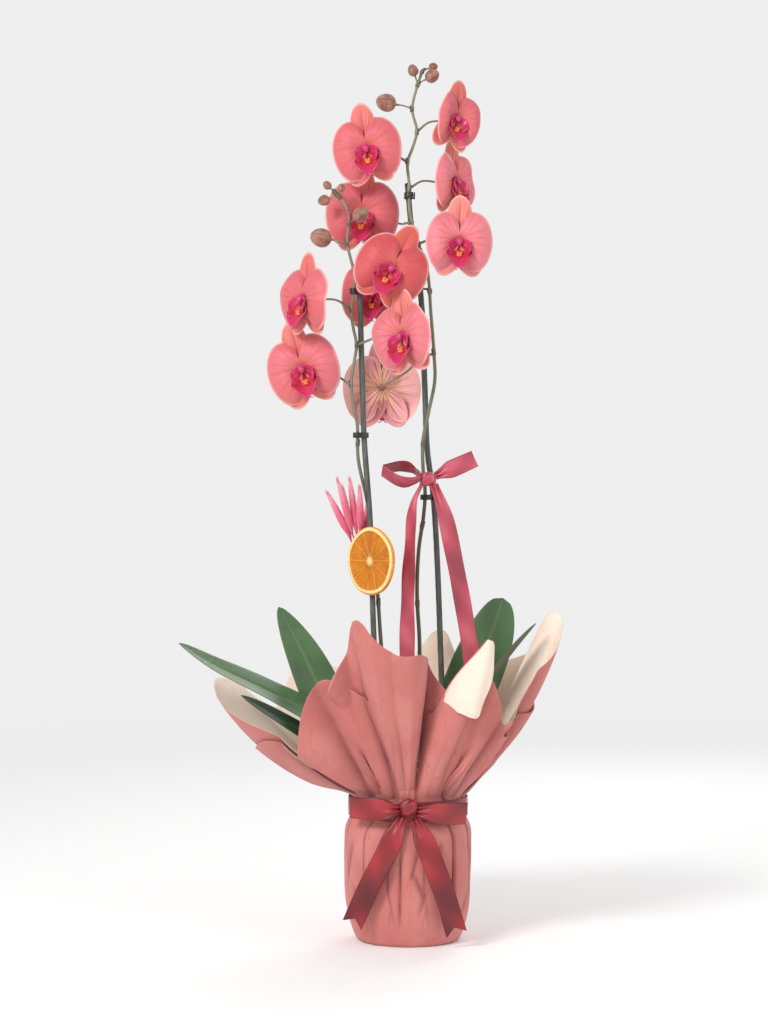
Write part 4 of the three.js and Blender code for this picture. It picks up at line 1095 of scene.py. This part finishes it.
def crown():
    """The short stem: a turned body whose radius wobbles as the leaf bases overlap."""
    profile = [(0, 0), (8, 0), (10.6, 6), (11.6, 14), (11.8, 22), (10.4, 29), (7.6, 34), (3.4, 37),
               (0, 37.8)]
    softened = curve([(r, z, 0) for r, z in profile], 60)[:, :2]
    softened[0, 0] = softened[-1, 0] = 0
    body = moved(lathe(softened, 72, 0.035), None, (0, 0, BARK_TOP + 0.3))
    make_piece("plant_crown_base", [body], CROWN, "plant_crown")


def aerial_root():
    """A root that leaves the crown, arches over and lies on the bark, blunt at its tip."""
    path = curve([crown_foot(66, 100.8), (10, 22, 102.8), (4, 33, 98.8), (-8, 38, 97.8),
                  (-16, 40, 98.8)], 60)
    t = np.linspace(0, 1, 60)
    radius = 2.3 + 0.12 * np.sin(t * 30) - 1.3 * smooth(t, 0.9, 1.0)
    make_piece("aerial_root_strand", [tube(path, radius, 16)], ROOT, "aerial_root")


pot()
bark()
crown()
aerial_root()


# ---------------------------------------------------------------- the paper wrap
# How the gathered paper leans out above the tie: [azimuth, lean at the tie, lean at the top].
FLARE = np.array([
    [-180, 74, 26], [-165, 66, 29], [-150, 60, 30], [-135, 36, 20], [-124, 24, 20], [-112, 31, 21],
    [-95, 31, 17], [-82, 22, 14], [-71, 9, 13], [-58, 31, 22], [-46, 24, 20], [-34, 42, 26],
    [-20, 38, 22], [-5, 47, 15], [8, 32, 20], [28, 48, 25], [45, 36, 24], [60, 34, 24],
    [76, 42, 22], [95, 36, 24], [110, 36, 24], [130, 54, 26], [150, 60, 30], [166, 66, 28],
], float)
OUTER_CORNERS = [[-135, 136], [-58, 176], [28, 186], [130, 172]]
INNER_CORNERS = [[-112, 198], [3, 206], [76, 186], [174, 184]]
# The outer sheet from the middle of its base up the pot to the tie, as [radius, height, 0].
POT_LINE = [(0, 0, 0), (24, 0, 0), (BASE_R - 3, 0, 0), (BASE_R, 1.5, 0), (BODY_R - 2, 34.3, 0),
            (BODY_R, 72.5, 0), (BODY_R, 88, 0), (BODY_R - 0.8, 104.5, 0), (58.5, 112, 0),
            (NECK_R, NECK_Z - RIBBON / 2, 0), (NECK_R, FLARE_START, 0)]
PAPER_THICK = 0.35
LAYER = 0.7                   # the distance between two layers of a fold
GATHER = 0.4                  # half the depth of the fine gathers at the tie
# Folds that lie over each other on the pot, as [azimuth, width, how deep the paper doubles back].
POT_FOLDS = [[-158, 8, 3.5], [-131, 7, 2.8], [-106, 6, 3.0], [-74, 6, 2.8], [-42, 7, 2.8],
             [-14, 8, 3.5], [18, 7, 3.2], [46, 7, 3.4], [74, 7, 3.2], [104, 8, 3.4],
             [134, 7, 3.2], [164, 7, 3.0]]
# Where the edge of a sheet stands further out than its square's, or lower where the distance is
# below 0, as [azimuth, half width, distance].
OUTER_SWELL = [[-28, 13, -30], [-152, 11, -38]]
INNER_SWELL = [[-82, 13, 26], [-26, 14, -30], [-152, 11, -32]]
# The outer sheet is turned over along a line that rises from FOLD_LOW to FOLD_TIP, each an
# azimuth and a distance from the tie.
FOLD_LOW = (-68, 98)
FOLD_TIP = (-58, 172)
# The outer sheet lies behind the inner one between these azimuths.
TUCKED = (-112, -72)
TUCK_DEPTH = 5.4
# Where the inner sheet bends further over near its edge, as [azimuth, half width, distance from
# the tie at which the bend starts, length over which it bends, angle].
INNER_CURLS = [[-128, 5, 70, 60, 40]]
# Sharp lines in the flare of both sheets, as [azimuth, depth, width]; a ridge is below 0.
CREASES = [[-162, 6, 7], [-149, -5, 6], [-137, 8, 6], [-127, -5, 5], [-115, 9, 6], [-105, -4, 5],
           [-98, 3, 4], [-88, -5, 9], [-75, 11, 5], [-68, -5, 4], [-60, 2, 4], [-50, 4, 5],
           [-43, -4, 5], [-35, 7, 5], [-24, -5, 5], [-12, 8, 6], [0, -5, 6], [12, 8, 6],
           [26, -6, 6], [42, 7, 6], [56, -5, 5], [72, 8, 6], [88, -5, 6], [102, 8, 6],
           [118, -6, 6], [134, 8, 6], [150, -5, 6], [166, 8, 6], [179, -5, 7]]
# Dents pressed into the paper on the pot, as [azimuth, height, slant, half length, depth, width].
DENTS = [[-98, 48, 0.02, 46, 3.0, 1.3], [-84, 78, 0.25, 14, 2.0, 2.0], [-80, 58, -0.5, 12, 2.2, 2.0],
         [-77, 42, 0.3, 12, 1.6, 2.0], [-158, 74, 0.35, 22, 2.6, 3.0], [-10, 72, -0.30, 38, 2.6, 3.0],
         [-122, 70, 0.45, 24, 1.8, 3.0], [-52, 52, -0.35, 30, 2.2, 3.0], [-64, 84, 0.4, 14, 1.8, 2.5],
         [30, 60, 0.3, 30, 2.2, 3.0], [70, 70, -0.35, 26, 2.2, 3.0], [110, 50, 0.3, 30, 2.2, 3.0],
         [150, 66, -0.4, 28, 2.2, 3.0], [-140, 36, -0.5, 20, 2.0, 3.0], [-30, 30, 0.5, 18, 2.0, 3.0]]


def around(table, azimuth, column):
    """A smooth value from a table whose first column is an azimuth, all round the circle."""
    count = len(table)
    at = np.concatenate([table[:, 0], [table[0, 0] + 360]])
    turn = (azimuth + 180) % 360 - 180
    k = np.clip(np.searchsorted(at, turn, "right") - 1, 0, count - 1)
    t = (turn - at[k]) / (at[k + 1] - at[k])
    a, b, c, d = (table[(k + j) % count, column] for j in (-1, 0, 1, 2))
    return b + 0.5 * t * (c - a + t * (2 * a - 5 * b + 4 * c - d + t * (3 * (b - c) + d - a)))


def paper_length(corners, azimuth):
    """The paper above the tie: the outline of a square, furthest at its corners."""
    at = np.array([c[0] for c in corners] + [corners[0][0] + 360], float)
    reach = np.array([c[1] for c in corners] + [corners[0][1]], float)
    turn = np.where(azimuth < at[0], azimuth + 360, azimuth)
    k = np.clip(np.searchsorted(at, turn, "right") - 1, 0, len(corners) - 1)
    along = (turn - at[k]) / (at[k + 1] - at[k])
    far = np.where(along < 0.5, reach[k], reach[k + 1])
    rise = (1 / np.cos(np.radians(90 * (along - 0.5))) - 1) / (math.sqrt(2) - 1)
    return EDGE_LENGTH + (far - EDGE_LENGTH) * rise


def soft_length(corners, swell, azimuth):
    """The paper's length with its corners rounded: the mean of five lengths a few degrees apart,
    and the bell-shaped swells."""
    length = sum(paper_length(corners, apart(azimuth + d, 0)) for d in (-4, -2, 0, 2, 4)) / 5
    length = 1.04 * length - 4
    for centre, half, extra in swell:
        length = length + extra * np.exp(-(apart(azimuth, centre) / half) ** 2)
    return length


def apart(azimuth, centre):
    """The signed angle from a centre, between -180 and 180."""
    return (azimuth - centre + 180) % 360 - 180


def folded(azimuth, folds, amount, fuller=1.0):
    """Where the paper goes when it doubles back on itself. Near a fold the azimuth runs forward,
    back and forward again, as x less a bell-shaped share of x, and the layers lie at different
    depths. Returns the new azimuth, the depth in layers, how near a fold edge is, and 1 where the
    paper is the buried middle layer of a fold."""
    turn = np.array(azimuth, float) + 0 * amount
    depth = 0 * turn
    edge = 0 * turn
    under = 0 * turn
    for centre, width, strength in folds:
        x = apart(azimuth, centre) / width
        bell = np.exp(-x ** 2)
        turn = turn - amount * fuller * strength * width * x * bell
        above = smooth(x, 0.5, 0.85) * np.exp(-(np.maximum(x - 0.85, 0) / 1.4) ** 2)
        below = smooth(x, 0.45, -0.7) * np.exp(-(np.minimum(x + 0.7, 0) / 1.4) ** 2)
        depth = depth + amount * (above - below)
        edge = np.maximum(edge, amount * np.exp(-((abs(x) - 0.72) / 0.2) ** 2))
        under = np.maximum(under, smooth(abs(x), 1.0, 0.8) * smooth(amount, 0.08, 0.2))
    return turn, depth, edge, under


def drawn_in(azimuth, amount):
    """The folds run together towards the bow: an azimuth near the front moves towards it, by
    0.6 of its distance at the middle and less with a bell-shaped falloff to the sides."""
    aside = apart(azimuth, -90)
    return azimuth - 0.6 * amount * aside * np.exp(-(aside / 45) ** 2)


def dents(azimuth, height):
    """How far the paper on the pot is pressed in: a sharp groove along each slanting line, in mm
    from the line, that fades at the line's ends."""
    pressed = 0 * azimuth * height
    for centre, middle, slant, half, deep, width in DENTS:
        aside = apart(azimuth, centre + slant * (height - middle)) * math.radians(BODY_R)
        ends = np.exp(-((height - middle) / half) ** 4)
        pressed = pressed + deep * np.exp(-abs(aside) / width) * ends
    return pressed


def flare_place(azimuth, s, off):
    """A point of the flare at an azimuth and a distance s from the tie, moved off the paper
    outwards: an arc whose lean turns evenly, integrated, so the radius grows by the difference of
    the cosines of the lean and the height by the difference of its sines."""
    start = np.radians(around(FLARE, azimuth, 1))
    bend = (np.radians(around(FLARE, azimuth, 2)) - start) / FLARE_LENGTH
    bend = np.where(abs(bend) < 1e-6, 1e-6, bend)
    lean = start + bend * s
    radius = NECK_R + (np.cos(start) - np.cos(lean)) / bend + off * np.cos(lean)
    height = FLARE_START + (np.sin(lean) - np.sin(start)) / bend - off * np.sin(lean)
    turn = np.radians(azimuth)
    return np.stack([radius * np.cos(turn), radius * np.sin(turn), height], -1)


def turned_corner():
    """The corner that is turned over to show the cream side: a leaf-shaped flap that rounds the
    fold from its tip (q = 0) to its low end (q = 1) and hangs over the outside of the sheet. Its
    reach w from the fold swells as a half sine, and it stands off the sheet by a low arch."""
    q = np.linspace(0, 1, 40)[:, None]
    w = np.linspace(0, 1, 22)[None]
    swell = np.sin(np.pi * np.minimum(1, 0.02 + 0.80 * q ** 1.05)) ** 0.75
    reach = 35 * swell * (1 - 0.55 * smooth(q, 0.88, 1.0))
    azimuth = FOLD_TIP[0] + q * (FOLD_LOW[0] - FOLD_TIP[0]) + 0.5 * w * reach
    s = FOLD_TIP[1] + q * (FOLD_LOW[1] - FOLD_TIP[1]) - (0.25 * w + 0.15 * q * w ** 2) * reach
    arch = smooth(w, 0, 0.16) * (3.2 + 1.2 * np.sin(np.pi * w)) * smooth(q, -0.05, 0.25)
    off = (3.4 * q ** 2 + arch) * (1 - 0.25 * smooth(q, 0.9, 1.0)) + 2.5 * w ** 4 * smooth(q, 0, 0.4)
    return solid_sheet(flare_place(azimuth, s, off), PAPER_THICK + 0 * w * q, crease=0.0, under=0.0)


def fine_gathers(azimuth):
    """Small gathers at the tie, from -1 to 1: 31 waves round the neck whose phase sways."""
    return np.sin(np.radians(azimuth * 31) + 2 * np.sin(np.radians(azimuth * 5)))


def pot_paper(azimuth, inset, fuller):
    """The paper under the pot and up to the tie, `inset` inside the line of the outer sheet. Its
    radius changes with the layers of the folds, the gathers of the tie, seven slack waves and the
    dents. Returns the azimuth, radius, height, crease-shade mark for the painted shade along fold
    edges and dents, and under mark of each point."""
    line = curve(POT_LINE, 56)
    level = line[:, 1:2]
    gathered = smooth(level, 6, 60)
    tie = np.exp(-((level - NECK_Z) / 16) ** 2)
    turn, depth, edge, _ = folded(azimuth, POT_FOLDS, gathered, fuller)
    slack = smooth(level, 10, 40) * smooth(level, 112, 90)
    waves = 1 + np.sin(np.radians(azimuth * 7) + level * 0.03)
    pressed = dents(turn, level) * slack
    radius = np.maximum(line[:, :1] - inset, 0) + LAYER * (depth - 1) * gathered
    radius = radius - GATHER * tie * (1 + fine_gathers(azimuth))
    radius = radius - 0.5 * slack * waves - 1.15 * pressed
    height = np.maximum(level, inset + 0.15) + 0 * azimuth
    # The mark for painted shade along the fold edges and in the dents.
    crease = np.maximum(edge * 0.7, pressed / 3.2)
    return drawn_in(turn, tie), radius, height, crease, 1 + 0 * turn


def cut_to_fold(azimuth, length):
    """The outer sheet's length, which ends at the fold line where its corner is turned over."""
    slope = (FOLD_TIP[1] - FOLD_LOW[1]) / (FOLD_TIP[0] - FOLD_LOW[0])
    line = FOLD_LOW[1] + slope * apart(azimuth, FOLD_LOW[0])
    inside = smooth(azimuth, -77, -73) * smooth(azimuth, FOLD_TIP[0] + 3, FOLD_TIP[0])
    return length + inside * (np.clip(line, 84, FOLD_TIP[1]) - length)


def creases(azimuth, s):
    """How far the ridges and valleys move the flare outwards at a distance s from the tie, each
    falling off exponentially to its sides, and a mark of how near a valley is, which paints shade
    in the valley."""
    strength = smooth(s, 2, 42) * (1 - 0.3 * smooth(s, 90, 190))
    offset = 0 * azimuth
    mark = 0 * azimuth
    for centre, deep, width in CREASES:
        x = abs(apart(azimuth, centre)) / width
        offset = offset - deep * np.exp(-x * 1.4) * strength
        if deep > 0:
            mark = np.maximum(mark, np.exp(-x * 1.7) * smooth(s, 200, 10) * min(1, deep / 8))
    return offset, mark


def flare_paper(azimuth, inset, spread, fuller, corners, swell, curls, outer):
    """The paper above the tie. Each line of it leans out along its own curve, in steps whose rise
    is the cosine of the lean and whose run is its sine, and is moved off that curve by creases,
    fold layers and gathers. Returns the same five values as pot_paper."""
    share = np.linspace(0, 1, 57)[1:, None]
    length = soft_length(corners, swell, azimuth)
    if outer:
        length = cut_to_fold(azimuth, length)
    s = share * length
    start = around(FLARE, azimuth, 1)
    lean = start + (around(FLARE, azimuth, 2) - start) * s / FLARE_LENGTH
    for centre, half, low, bend, angle in curls:
        near = np.exp(-(apart(azimuth, centre) / half) ** 4)
        lean = lean + angle * near * smooth(s, low, low + bend)
    lean = np.radians(lean)
    step = np.diff(np.concatenate([0 * s[:1], s]), axis=0)
    radius = NECK_R - inset + np.cumsum(np.sin(lean) * step, 0)
    height = FLARE_START + np.cumsum(np.cos(lean) * step, 0)
    fade = smooth(s, 85, 0)
    turn, depth, edge, under = folded(azimuth, POT_FOLDS, fade, fuller)
    offset, mark = creases(turn, s)
    offset = offset - spread * share + LAYER * (depth - 1) * fade
    offset = offset - GATHER * (1 + fine_gathers(azimuth)) * smooth(s, 22, 0)
    if outer:
        first, last = TUCKED
        tucked = smooth(turn, first - 2, first + 2) * smooth(turn, last + 2, last - 2)
        offset = offset - TUCK_DEPTH * tucked * smooth(s, 0, 22)
    radius = radius + offset * np.cos(lean)
    height = height - offset * np.sin(lean)
    # The fourth value marks the painted shade in the valleys and along the fold edges.
    return drawn_in(turn, smooth(s, 120, 0)), radius, height, np.maximum(mark, edge * 0.7), under


def wrap_sheet(name, inset, spread, corners, swell, curls, outer):
    """A square sheet gathered round the pot: the paper up to the tie, the flare above it and, on
    the outer sheet, the corner that is turned over. The inner sheet's folds are 1.3 times as full."""
    azimuth = np.linspace(-180, 180, 432, endpoint=False)[None]
    fuller = 1.0 if outer else 1.3
    low = pot_paper(azimuth, inset, fuller)
    high = flare_paper(azimuth, inset, spread, fuller, corners, swell, curls, outer)
    turn, radius, height, crease, under = (np.vstack(pair) for pair in zip(low, high))
    turn = np.radians(turn)
    points = np.stack([radius * np.cos(turn), radius * np.sin(turn), height], -1)
    parts = [solid_sheet(points, PAPER_THICK + 0 * radius, True, crease=crease, under=under)]
    if outer:
        parts.append(turned_corner())
    made = make_piece(name, parts, PAPER, name)


wrap_sheet("wrap_sheet_outer", 0.4, 0, OUTER_CORNERS, OUTER_SWELL, [], True)
wrap_sheet("wrap_sheet_inner", 2.9, 2, INNER_CORNERS, INNER_SWELL, INNER_CURLS, False)


# ---------------------------------------------------------------- ribbons
def ribbon(path, across, width, notch, pinch, ripple):
    """A strip of satin along a path. `across` gives its width direction at each row, `pinch` its
    share of the full width, where the rest is gathered in small folds, `notch` the depth of the V
    cut out of its far end and `ripple` the height of its slow waves."""
    total = run(path)[-1]
    u = np.linspace(-1, 1, 17)[None]
    t = np.linspace(0, 1, len(across))[:, None]
    distance = t * (total - notch * (1 - abs(u)))
    along = along_of(at_distance(path, t[:, 0] * total))
    wide = unit(across - along * (across * along).sum(1, keepdims=True))
    face = np.cross(along, wide)
    gathers = (1 - pinch)[:, None] * 2.4 * np.sin(u * 7.5 + 0.8)
    fold = gathers + ripple * np.sin(distance * 0.11 + u * 1.7)
    points = at_distance(path, distance) + (0.5 * width * pinch[:, None] * u)[..., None] * wide[:, None]
    points = points + fold[..., None] * face[:, None]
    return solid_sheet(points, SATIN_THICK + 0 * distance, along=distance, across=u + 0 * t)


def satin(name, part, bow, flat):
    """A satin piece in its bow's material; `flat`, the width and length of ribbon that it was cut from,
    is not used.
    """
    _, material, slot, _ = bow
    made = make_piece(name, [part], material, name)
    tuple(size * MM for size in flat)


def neck_band():
    """The ribbon round the neck: a ring whose middle bulges a little between its pulled edges,
    with slanting creases where it was drawn tight."""
    turn = np.linspace(0, 2 * np.pi, 200, endpoint=False)[None]
    v = np.linspace(-1, 1, 15)[:, None]
    drawn = 0.22 * np.sin(turn * 23 + v * 2.5) + 0.15 * np.sin(turn * 9 - v * 3)
    radius = NECK_R + 0.75 + 0.3 * (1 - v ** 2) + drawn
    height = NECK_Z + v * RIBBON / 2 + 0 * turn
    points = np.stack([radius * np.cos(turn), radius * np.sin(turn), height], -1)
    along = np.degrees(turn) + 0 * v
    band = solid_sheet(points, 0.4 + 0 * radius, True, along=along, across=v + 0 * turn)
    flat = (RIBBON, 2 * math.pi * (NECK_R + 1))
    satin("neck_ribbon_band", band, NECK_BOW, flat)


def bow_loop(length, swell, sag, width, mirrored=False):
    """A loop that leaves the knot, swells and comes back beside itself; `sag` bends it round
    what it lies against, with the square of its reach. It is gathered to 0.45 of its width at the
    knot."""
    t = np.linspace(0, 1, 120)
    x = length * np.sin(np.pi * t)
    half = swell * np.sin(np.pi * np.minimum(1, x / length) ** 0.8) + 0.9
    half = half * np.sqrt(np.clip(1 - (x / length) ** 6, 0, 1))
    y = sag * (x / length) ** 2 + np.where(t < 0.5, -half, half)
    path = np.stack([x * (-1 if mirrored else 1), y, 0 * x], 1)
    path = at_distance(path, np.linspace(0, 1, 110) * run(path)[-1])
    pinch = 0.45 + 0.55 * smooth(abs(path[:, 0]) / length, 0.0, 0.42)
    return ribbon(path, np.tile((0.0, 0.0, 1.0), (110, 1)), width, 0, pinch, 0.25)


def loop(side, part, bow, flat_length):
    """Makes the piece of one loop of a bow, folded out from its knot and back."""
    prefix, *_, width = bow
    satin(f"{prefix}_loop_{side}", part, bow, (width, flat_length))


def knot(place, size, bow):
    """The knot of a bow: a barrel along X, whose girth is a power of the sine of the polar angle,
    with soft ridges that slant along it."""
    prefix, material, slot, _ = bow
    polar = np.linspace(0, np.pi, 30)[:, None]
    turn = np.linspace(0, 2 * np.pi, 44, endpoint=False)[None]
    slant = 0.09 * np.sin(turn * 5 + 4 * np.cos(polar)) * np.sin(polar)
    girth = np.sin(polar) ** 0.55 * (1 + slant + 0.05 * np.sin(polar * 9))
    points = np.stack([size[0] * np.cos(polar) + 0 * turn, size[1] * girth * np.cos(turn),
                       size[2] * girth * np.sin(turn)], -1)
    along = size[0] * 3 * polar + 0 * turn
    part = surface(points, along=along, across=0.5 * np.sin(turn) + 0 * polar)
    make_piece(prefix + "_knot", [moved(part, None, place)], material, prefix + "_knot")


def tail(side, points, turns, notch, bow):
    """A hanging end of ribbon, gathered at the knot and cut to a V. Its width turns evenly from
    the first direction to the second."""
    prefix, *_, width = bow
    path = curve(points, 90)
    t = np.linspace(0, 1, 90)[:, None]
    across = (1 - t) * np.array(turns[0], float) + t * np.array(turns[1], float)
    pinch = 0.5 + 0.5 * smooth(t[:, 0], 0, 0.22)
    part = ribbon(path, across, width, notch, pinch, 0.6)
    flat = (width, run(path)[-1])
    satin(f"{prefix}_tail_{side}", part, bow, flat)


# Each bow: the start of its pieces' names, its material, its slot and its width.
NECK_BOW = ("neck_bow", NECK_SATIN, "neck_ribbon", BOW_WIDTH)
STAKE_BOW = ("stake_bow", ROSE_SATIN, "rose_ribbon", STAKE_BOW_WIDTH)
SATIN_THICK = 0.45
BOW_Y = -(NECK_R + 0.3 + 1.2 + 5)

neck_band()
loop_left = moved(bow_loop(46, 5, 18, BOW_WIDTH, True), None, (-8.5, BOW_Y, NECK_Z + 3))
loop_right = moved(bow_loop(46, 5, 18, BOW_WIDTH), turn_matrix(roll=5), (8.5, BOW_Y, NECK_Z + 1))
loop("left", loop_left, NECK_BOW, flat_length=96)
loop("right", loop_right, NECK_BOW, flat_length=96)
knot((0, BOW_Y, NECK_Z + 5), (8, 4.4, 7.4), NECK_BOW)
tail("left", [(-6, BOW_Y + 1, NECK_Z - 4), (-20, -66, 92), (-37, -62, 58), (-52.5, -54, 22)],
     [(0.8, -0.1, -0.55), (0.9, -0.2, -0.4)], 7, NECK_BOW)
tail("right", [(6, BOW_Y - 2, NECK_Z - 6), (20, -69, 88), (34, -64, 50), (44.5, -57, 14)],
     [(0.85, 0.1, 0.5), (0.9, 0.2, 0.4)], 7, NECK_BOW)


def ring_path(stake_path, stem_path, height, radius, count):
    """A closed path with straight sides round a stake and the stem beside it."""
    a = at_height(stake_path, height)
    b = at_height(stem_path, height)
    half = math.hypot(*(b - a)[:2]) / 2
    heading = math.atan2(b[1] - a[1], b[0] - a[0])
    turn = np.linspace(0, 2 * np.pi, count, endpoint=False)
    x = radius * np.cos(turn) + half * np.tanh(6 * np.cos(turn))
    y = radius * np.sin(turn)
    middle = (a + b) / 2
    return np.stack([middle[0] + x * math.cos(heading) - y * math.sin(heading),
                     middle[1] + x * math.sin(heading) + y * math.cos(heading), 0 * x + height], 1)


def ring_band(path, height, thickness, wobble=0.0):
    """A band of a given height round a closed path."""
    v = np.linspace(-1, 1, 11)[:, None]
    points = path[None] + np.stack([0 * v, 0 * v, v * height / 2], -1)
    sway = wobble * np.sin(np.arange(len(path))[None] * 0.9 + 3 * v)
    points = points + sway[..., None] * (0, 0, 1)
    along = np.broadcast_to(np.arange(len(path))[None] * 0.7, points.shape[:2])
    return solid_sheet(points, thickness + 0 * along, True, along=along, across=v + 0 * along)


left_stem = curve(LEFT_STEM, 420)
right_stem = curve(RIGHT_STEM, 420)
band_path = ring_path(right_stake, right_stem, 436.5, STAKE_R + 1.0, 60)
band = ring_band(band_path, 0.6 * STAKE_BOW_WIDTH, 0.5, 0.2)
satin("stake_bow_band", band, STAKE_BOW, (10, 54))
loose_loop = bow_loop(37, 9, 0, STAKE_BOW_WIDTH, True)
loop("left", moved(loose_loop, turn_matrix(0, 50, 10, "YXZ"), (11.6, -14, 438)), STAKE_BOW,
     flat_length=92)
flat_loop = bow_loop(41, 2.5, 0, STAKE_BOW_WIDTH)
loop("right", moved(flat_loop, turn_matrix(0, 8, -24, "YXZ"), (26, -12.5, 439)), STAKE_BOW,
     flat_length=84)
knot((19, -12, 436), (7.5, 3.6, 6.5), STAKE_BOW)
tail("left", [(13, -16, 431), (5, -18, 412), (1.5, -18, 370), (-0.5, -17, 320), (-1, -16, 280),
              (-1, -15, 244)],
     [(0.45, -0.9, 0), (0.9, -0.35, 0)], 6, STAKE_BOW)
tail("right", [(24, -16, 431), (34, -19, 404), (42, -20, 368), (50, -19, 327), (58.5, -18, 276),
               (62, -17, 250)],
     [(0.9, 0.3, 0.2), (0.97, 0.15, 0.15)], 6, STAKE_BOW)


# ---------------------------------------------------------------- clips
def clip(name, stake_path, stem_path, height):
    """A clip round a stake and the stem beside it, with the pin of its hinge at the side."""
    ring = ring_band(ring_path(stake_path, stem_path, height, STAKE_R + 1.1, 64), 5, 1.1)
    hinge = ring_path(stake_path, stem_path, height, STAKE_R + 2.2, 64)[16]
    rise = np.linspace(-3.2, 3.2, 8)[:, None] * (0, 0, 1)
    make_piece(name + "_ring", [ring, tube(hinge + rise, 0.9, 10, along=0.0, across=0.0)], CLIP,
               name)


clip("clip_left_low", left_stake, left_stem, 478)
clip("clip_left_top", left_stake, left_stem, 614)
clip("clip_right_low", right_stake, right_stem, 419)
clip("clip_right_top", right_stake, right_stem, 706)


# ---------------------------------------------------------------- orange slice and dried grass
def orange_slice():
    """The slice: a disc whose ten segments sink between their skins, with a raised core and rim.
    A ring's depth is the same on both faces, and the rind is rounded."""
    radius, thickness, segments, columns = 32.5, 5.0, 10, 240
    turn = np.linspace(0, 2 * np.pi, columns, endpoint=False)[None]
    reach = np.concatenate([np.linspace(0, 0.87, 26), np.linspace(0.885, 1, 7)])[:, None]
    phase = turn * segments / (2 * np.pi) + 0.06 * np.sin(turn * 3)
    aside = abs(phase - np.round(phase)) * 2 * np.pi / segments * reach * radius
    skin = np.exp(-(aside / 0.7) ** 2) * smooth(reach, 0.05, 0.2) * smooth(reach, 0.89, 0.86)
    sunk = smooth(reach, 0.1, 0.24) * smooth(reach, 0.89, 0.84)
    pulp = 1.1 * sunk * (1 - 0.75 * skin) + 0.25 * sunk * np.sin(turn * 61 + reach * 30) * (1 - skin)
    half = thickness / 2 - 0.25 - pulp - 0.9 * smooth(reach, 0.95, 1.0)
    uneven = 1 + 0.012 * np.sin(turn * 5) * smooth(reach, 0.3, 1)
    r = np.maximum(radius * (reach - 0.012) * uneven, 0)
    front = np.stack([r * np.cos(turn), -half, r * np.sin(turn)], -1)
    behind = (front * (1, -1, 1))[::-1]
    depth = np.array([-0.8, 0.0, 0.8])[:, None]
    round_rim = np.stack([radius * np.cos(turn) + 0 * depth, depth + 0 * turn,
                          radius * np.sin(turn) + 0 * depth], -1)
    whole_reach = np.concatenate([reach, np.ones((3, 1)), reach[::-1]])
    part = surface(np.concatenate([front, round_rim, behind]), along=whole_reach,
                   across=np.concatenate([skin, np.zeros((3, columns)), skin[::-1]]),
                   turn=np.degrees(turn) / 10 + 0 * whole_reach)
    low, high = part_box("orange_slice")
    centre = [(a + b) / 2 / MM for a, b in zip(low, high)]
    slice_turned = moved(part, turn_matrix(-48), centre)
    make_piece("orange_slice_dried", [slice_turned], ORANGE, "orange_slice")


def slice_tie():
    """A thin twisted tie, three turns round the stake, that holds the slice and the grass."""
    centre = at_height(left_stake, 370)
    radius = STAKE_R + 0.5
    turn = np.linspace(0, 6 * np.pi, 120)
    path = centre + np.stack([radius * np.cos(turn), radius * np.sin(turn),
                              -2.2 + 4.4 * turn / turn[-1]], 1)
    make_piece("slice_tie_cord", [tube(path, 0.42, 8)], STEM, "slice_tie")


PLUME_TIPS = [(-78, 8, 425), (-67.7, -3, 438), (-56, 8, 439), (-46, -6, 431), (-37, 25, 419),
              (-63, 21, 430)]
PLUME_FOOT = np.array((-46.0, 22.0, 376.0))


def bristles(path, girth, foot, tip):
    """Several hundred fine bristles that lie up along a plume, each a thin three-sided spike.
    Returns their points, their faces and how far up the plume each point is."""
    count, thick = 520, 0.22
    axis = unit(tip - foot)
    at = random.uniform(0.12, 0.98, count)
    spin = random.uniform(0, 2 * np.pi, count)
    side = unit(np.cross(axis, (0.3, 1.0, 0.1)))
    away = np.cos(spin)[:, None] * side + np.sin(spin)[:, None] * np.cross(axis, side)
    flat = np.cross(away, axis)
    reach = random.uniform(3.0, 6.5, count)[:, None] * (1 - 0.35 * at[:, None])
    around_it = np.interp(at, np.linspace(0, 1, len(girth)), girth)[:, None]
    start = at_distance(path, at * np.linalg.norm(tip - foot)) + away * around_it * 0.8
    end = start + axis * reach + away * reach * 0.16
    corners = [start + thick * flat, start + thick * (away - 0.5 * flat),
               start - thick * (away + 0.5 * flat), end]
    first = 4 * np.arange(count)[:, None]
    faces = np.vstack([first + (0, 1, 3), first + (1, 2, 3), first + (2, 0, 3), first + (0, 2, 1)])
    shares = np.repeat(at, 4).reshape(-1, 4)
    shares[:, 3] = np.minimum(1, shares[:, 3] + 0.25)
    return np.stack(corners, 1).reshape(-1, 3), faces, shares.ravel()


def plume(name, foot, tip):
    """A tuft of dried grass: a spindle, bowed up a little, whose girth is a power of a half sine,
    with bristles all over it."""
    rise = (0, 0, 1.5)
    path = curve([foot, foot + 0.35 * (tip - foot) + rise, foot + 0.7 * (tip - foot) + rise, tip], 40)
    t = np.linspace(0, 1, 40)
    girth = 3.0 * np.sin(np.pi * t ** 0.9) ** 0.8 * smooth(t, 0.0, 0.35) + 0.5
    core = tube(path, girth * (1 - 0.6 * smooth(t, 0.9, 1)), 12, along=t)
    make_piece(name + "_core", [core], GRASS, name)
    points, faces, shares = bristles(path, girth, foot, tip)
    mesh = bpy.data.meshes.new(name + "_bristles")
    mesh.from_pydata(points * MM, [], faces.tolist())
    mesh.attributes.new("along", "FLOAT", "POINT").data.foreach_set("value", shares)
    show(name + "_bristles", mesh, GRASS)


for i, tip in enumerate(PLUME_TIPS):
    foot = PLUME_FOOT + (3 * (i % 5) - 8, 5 if i == 5 else 0, 0)
    plume(f"grass_plume_{i + 1}", foot, np.array(tip, float))
orange_slice()
slice_tie()
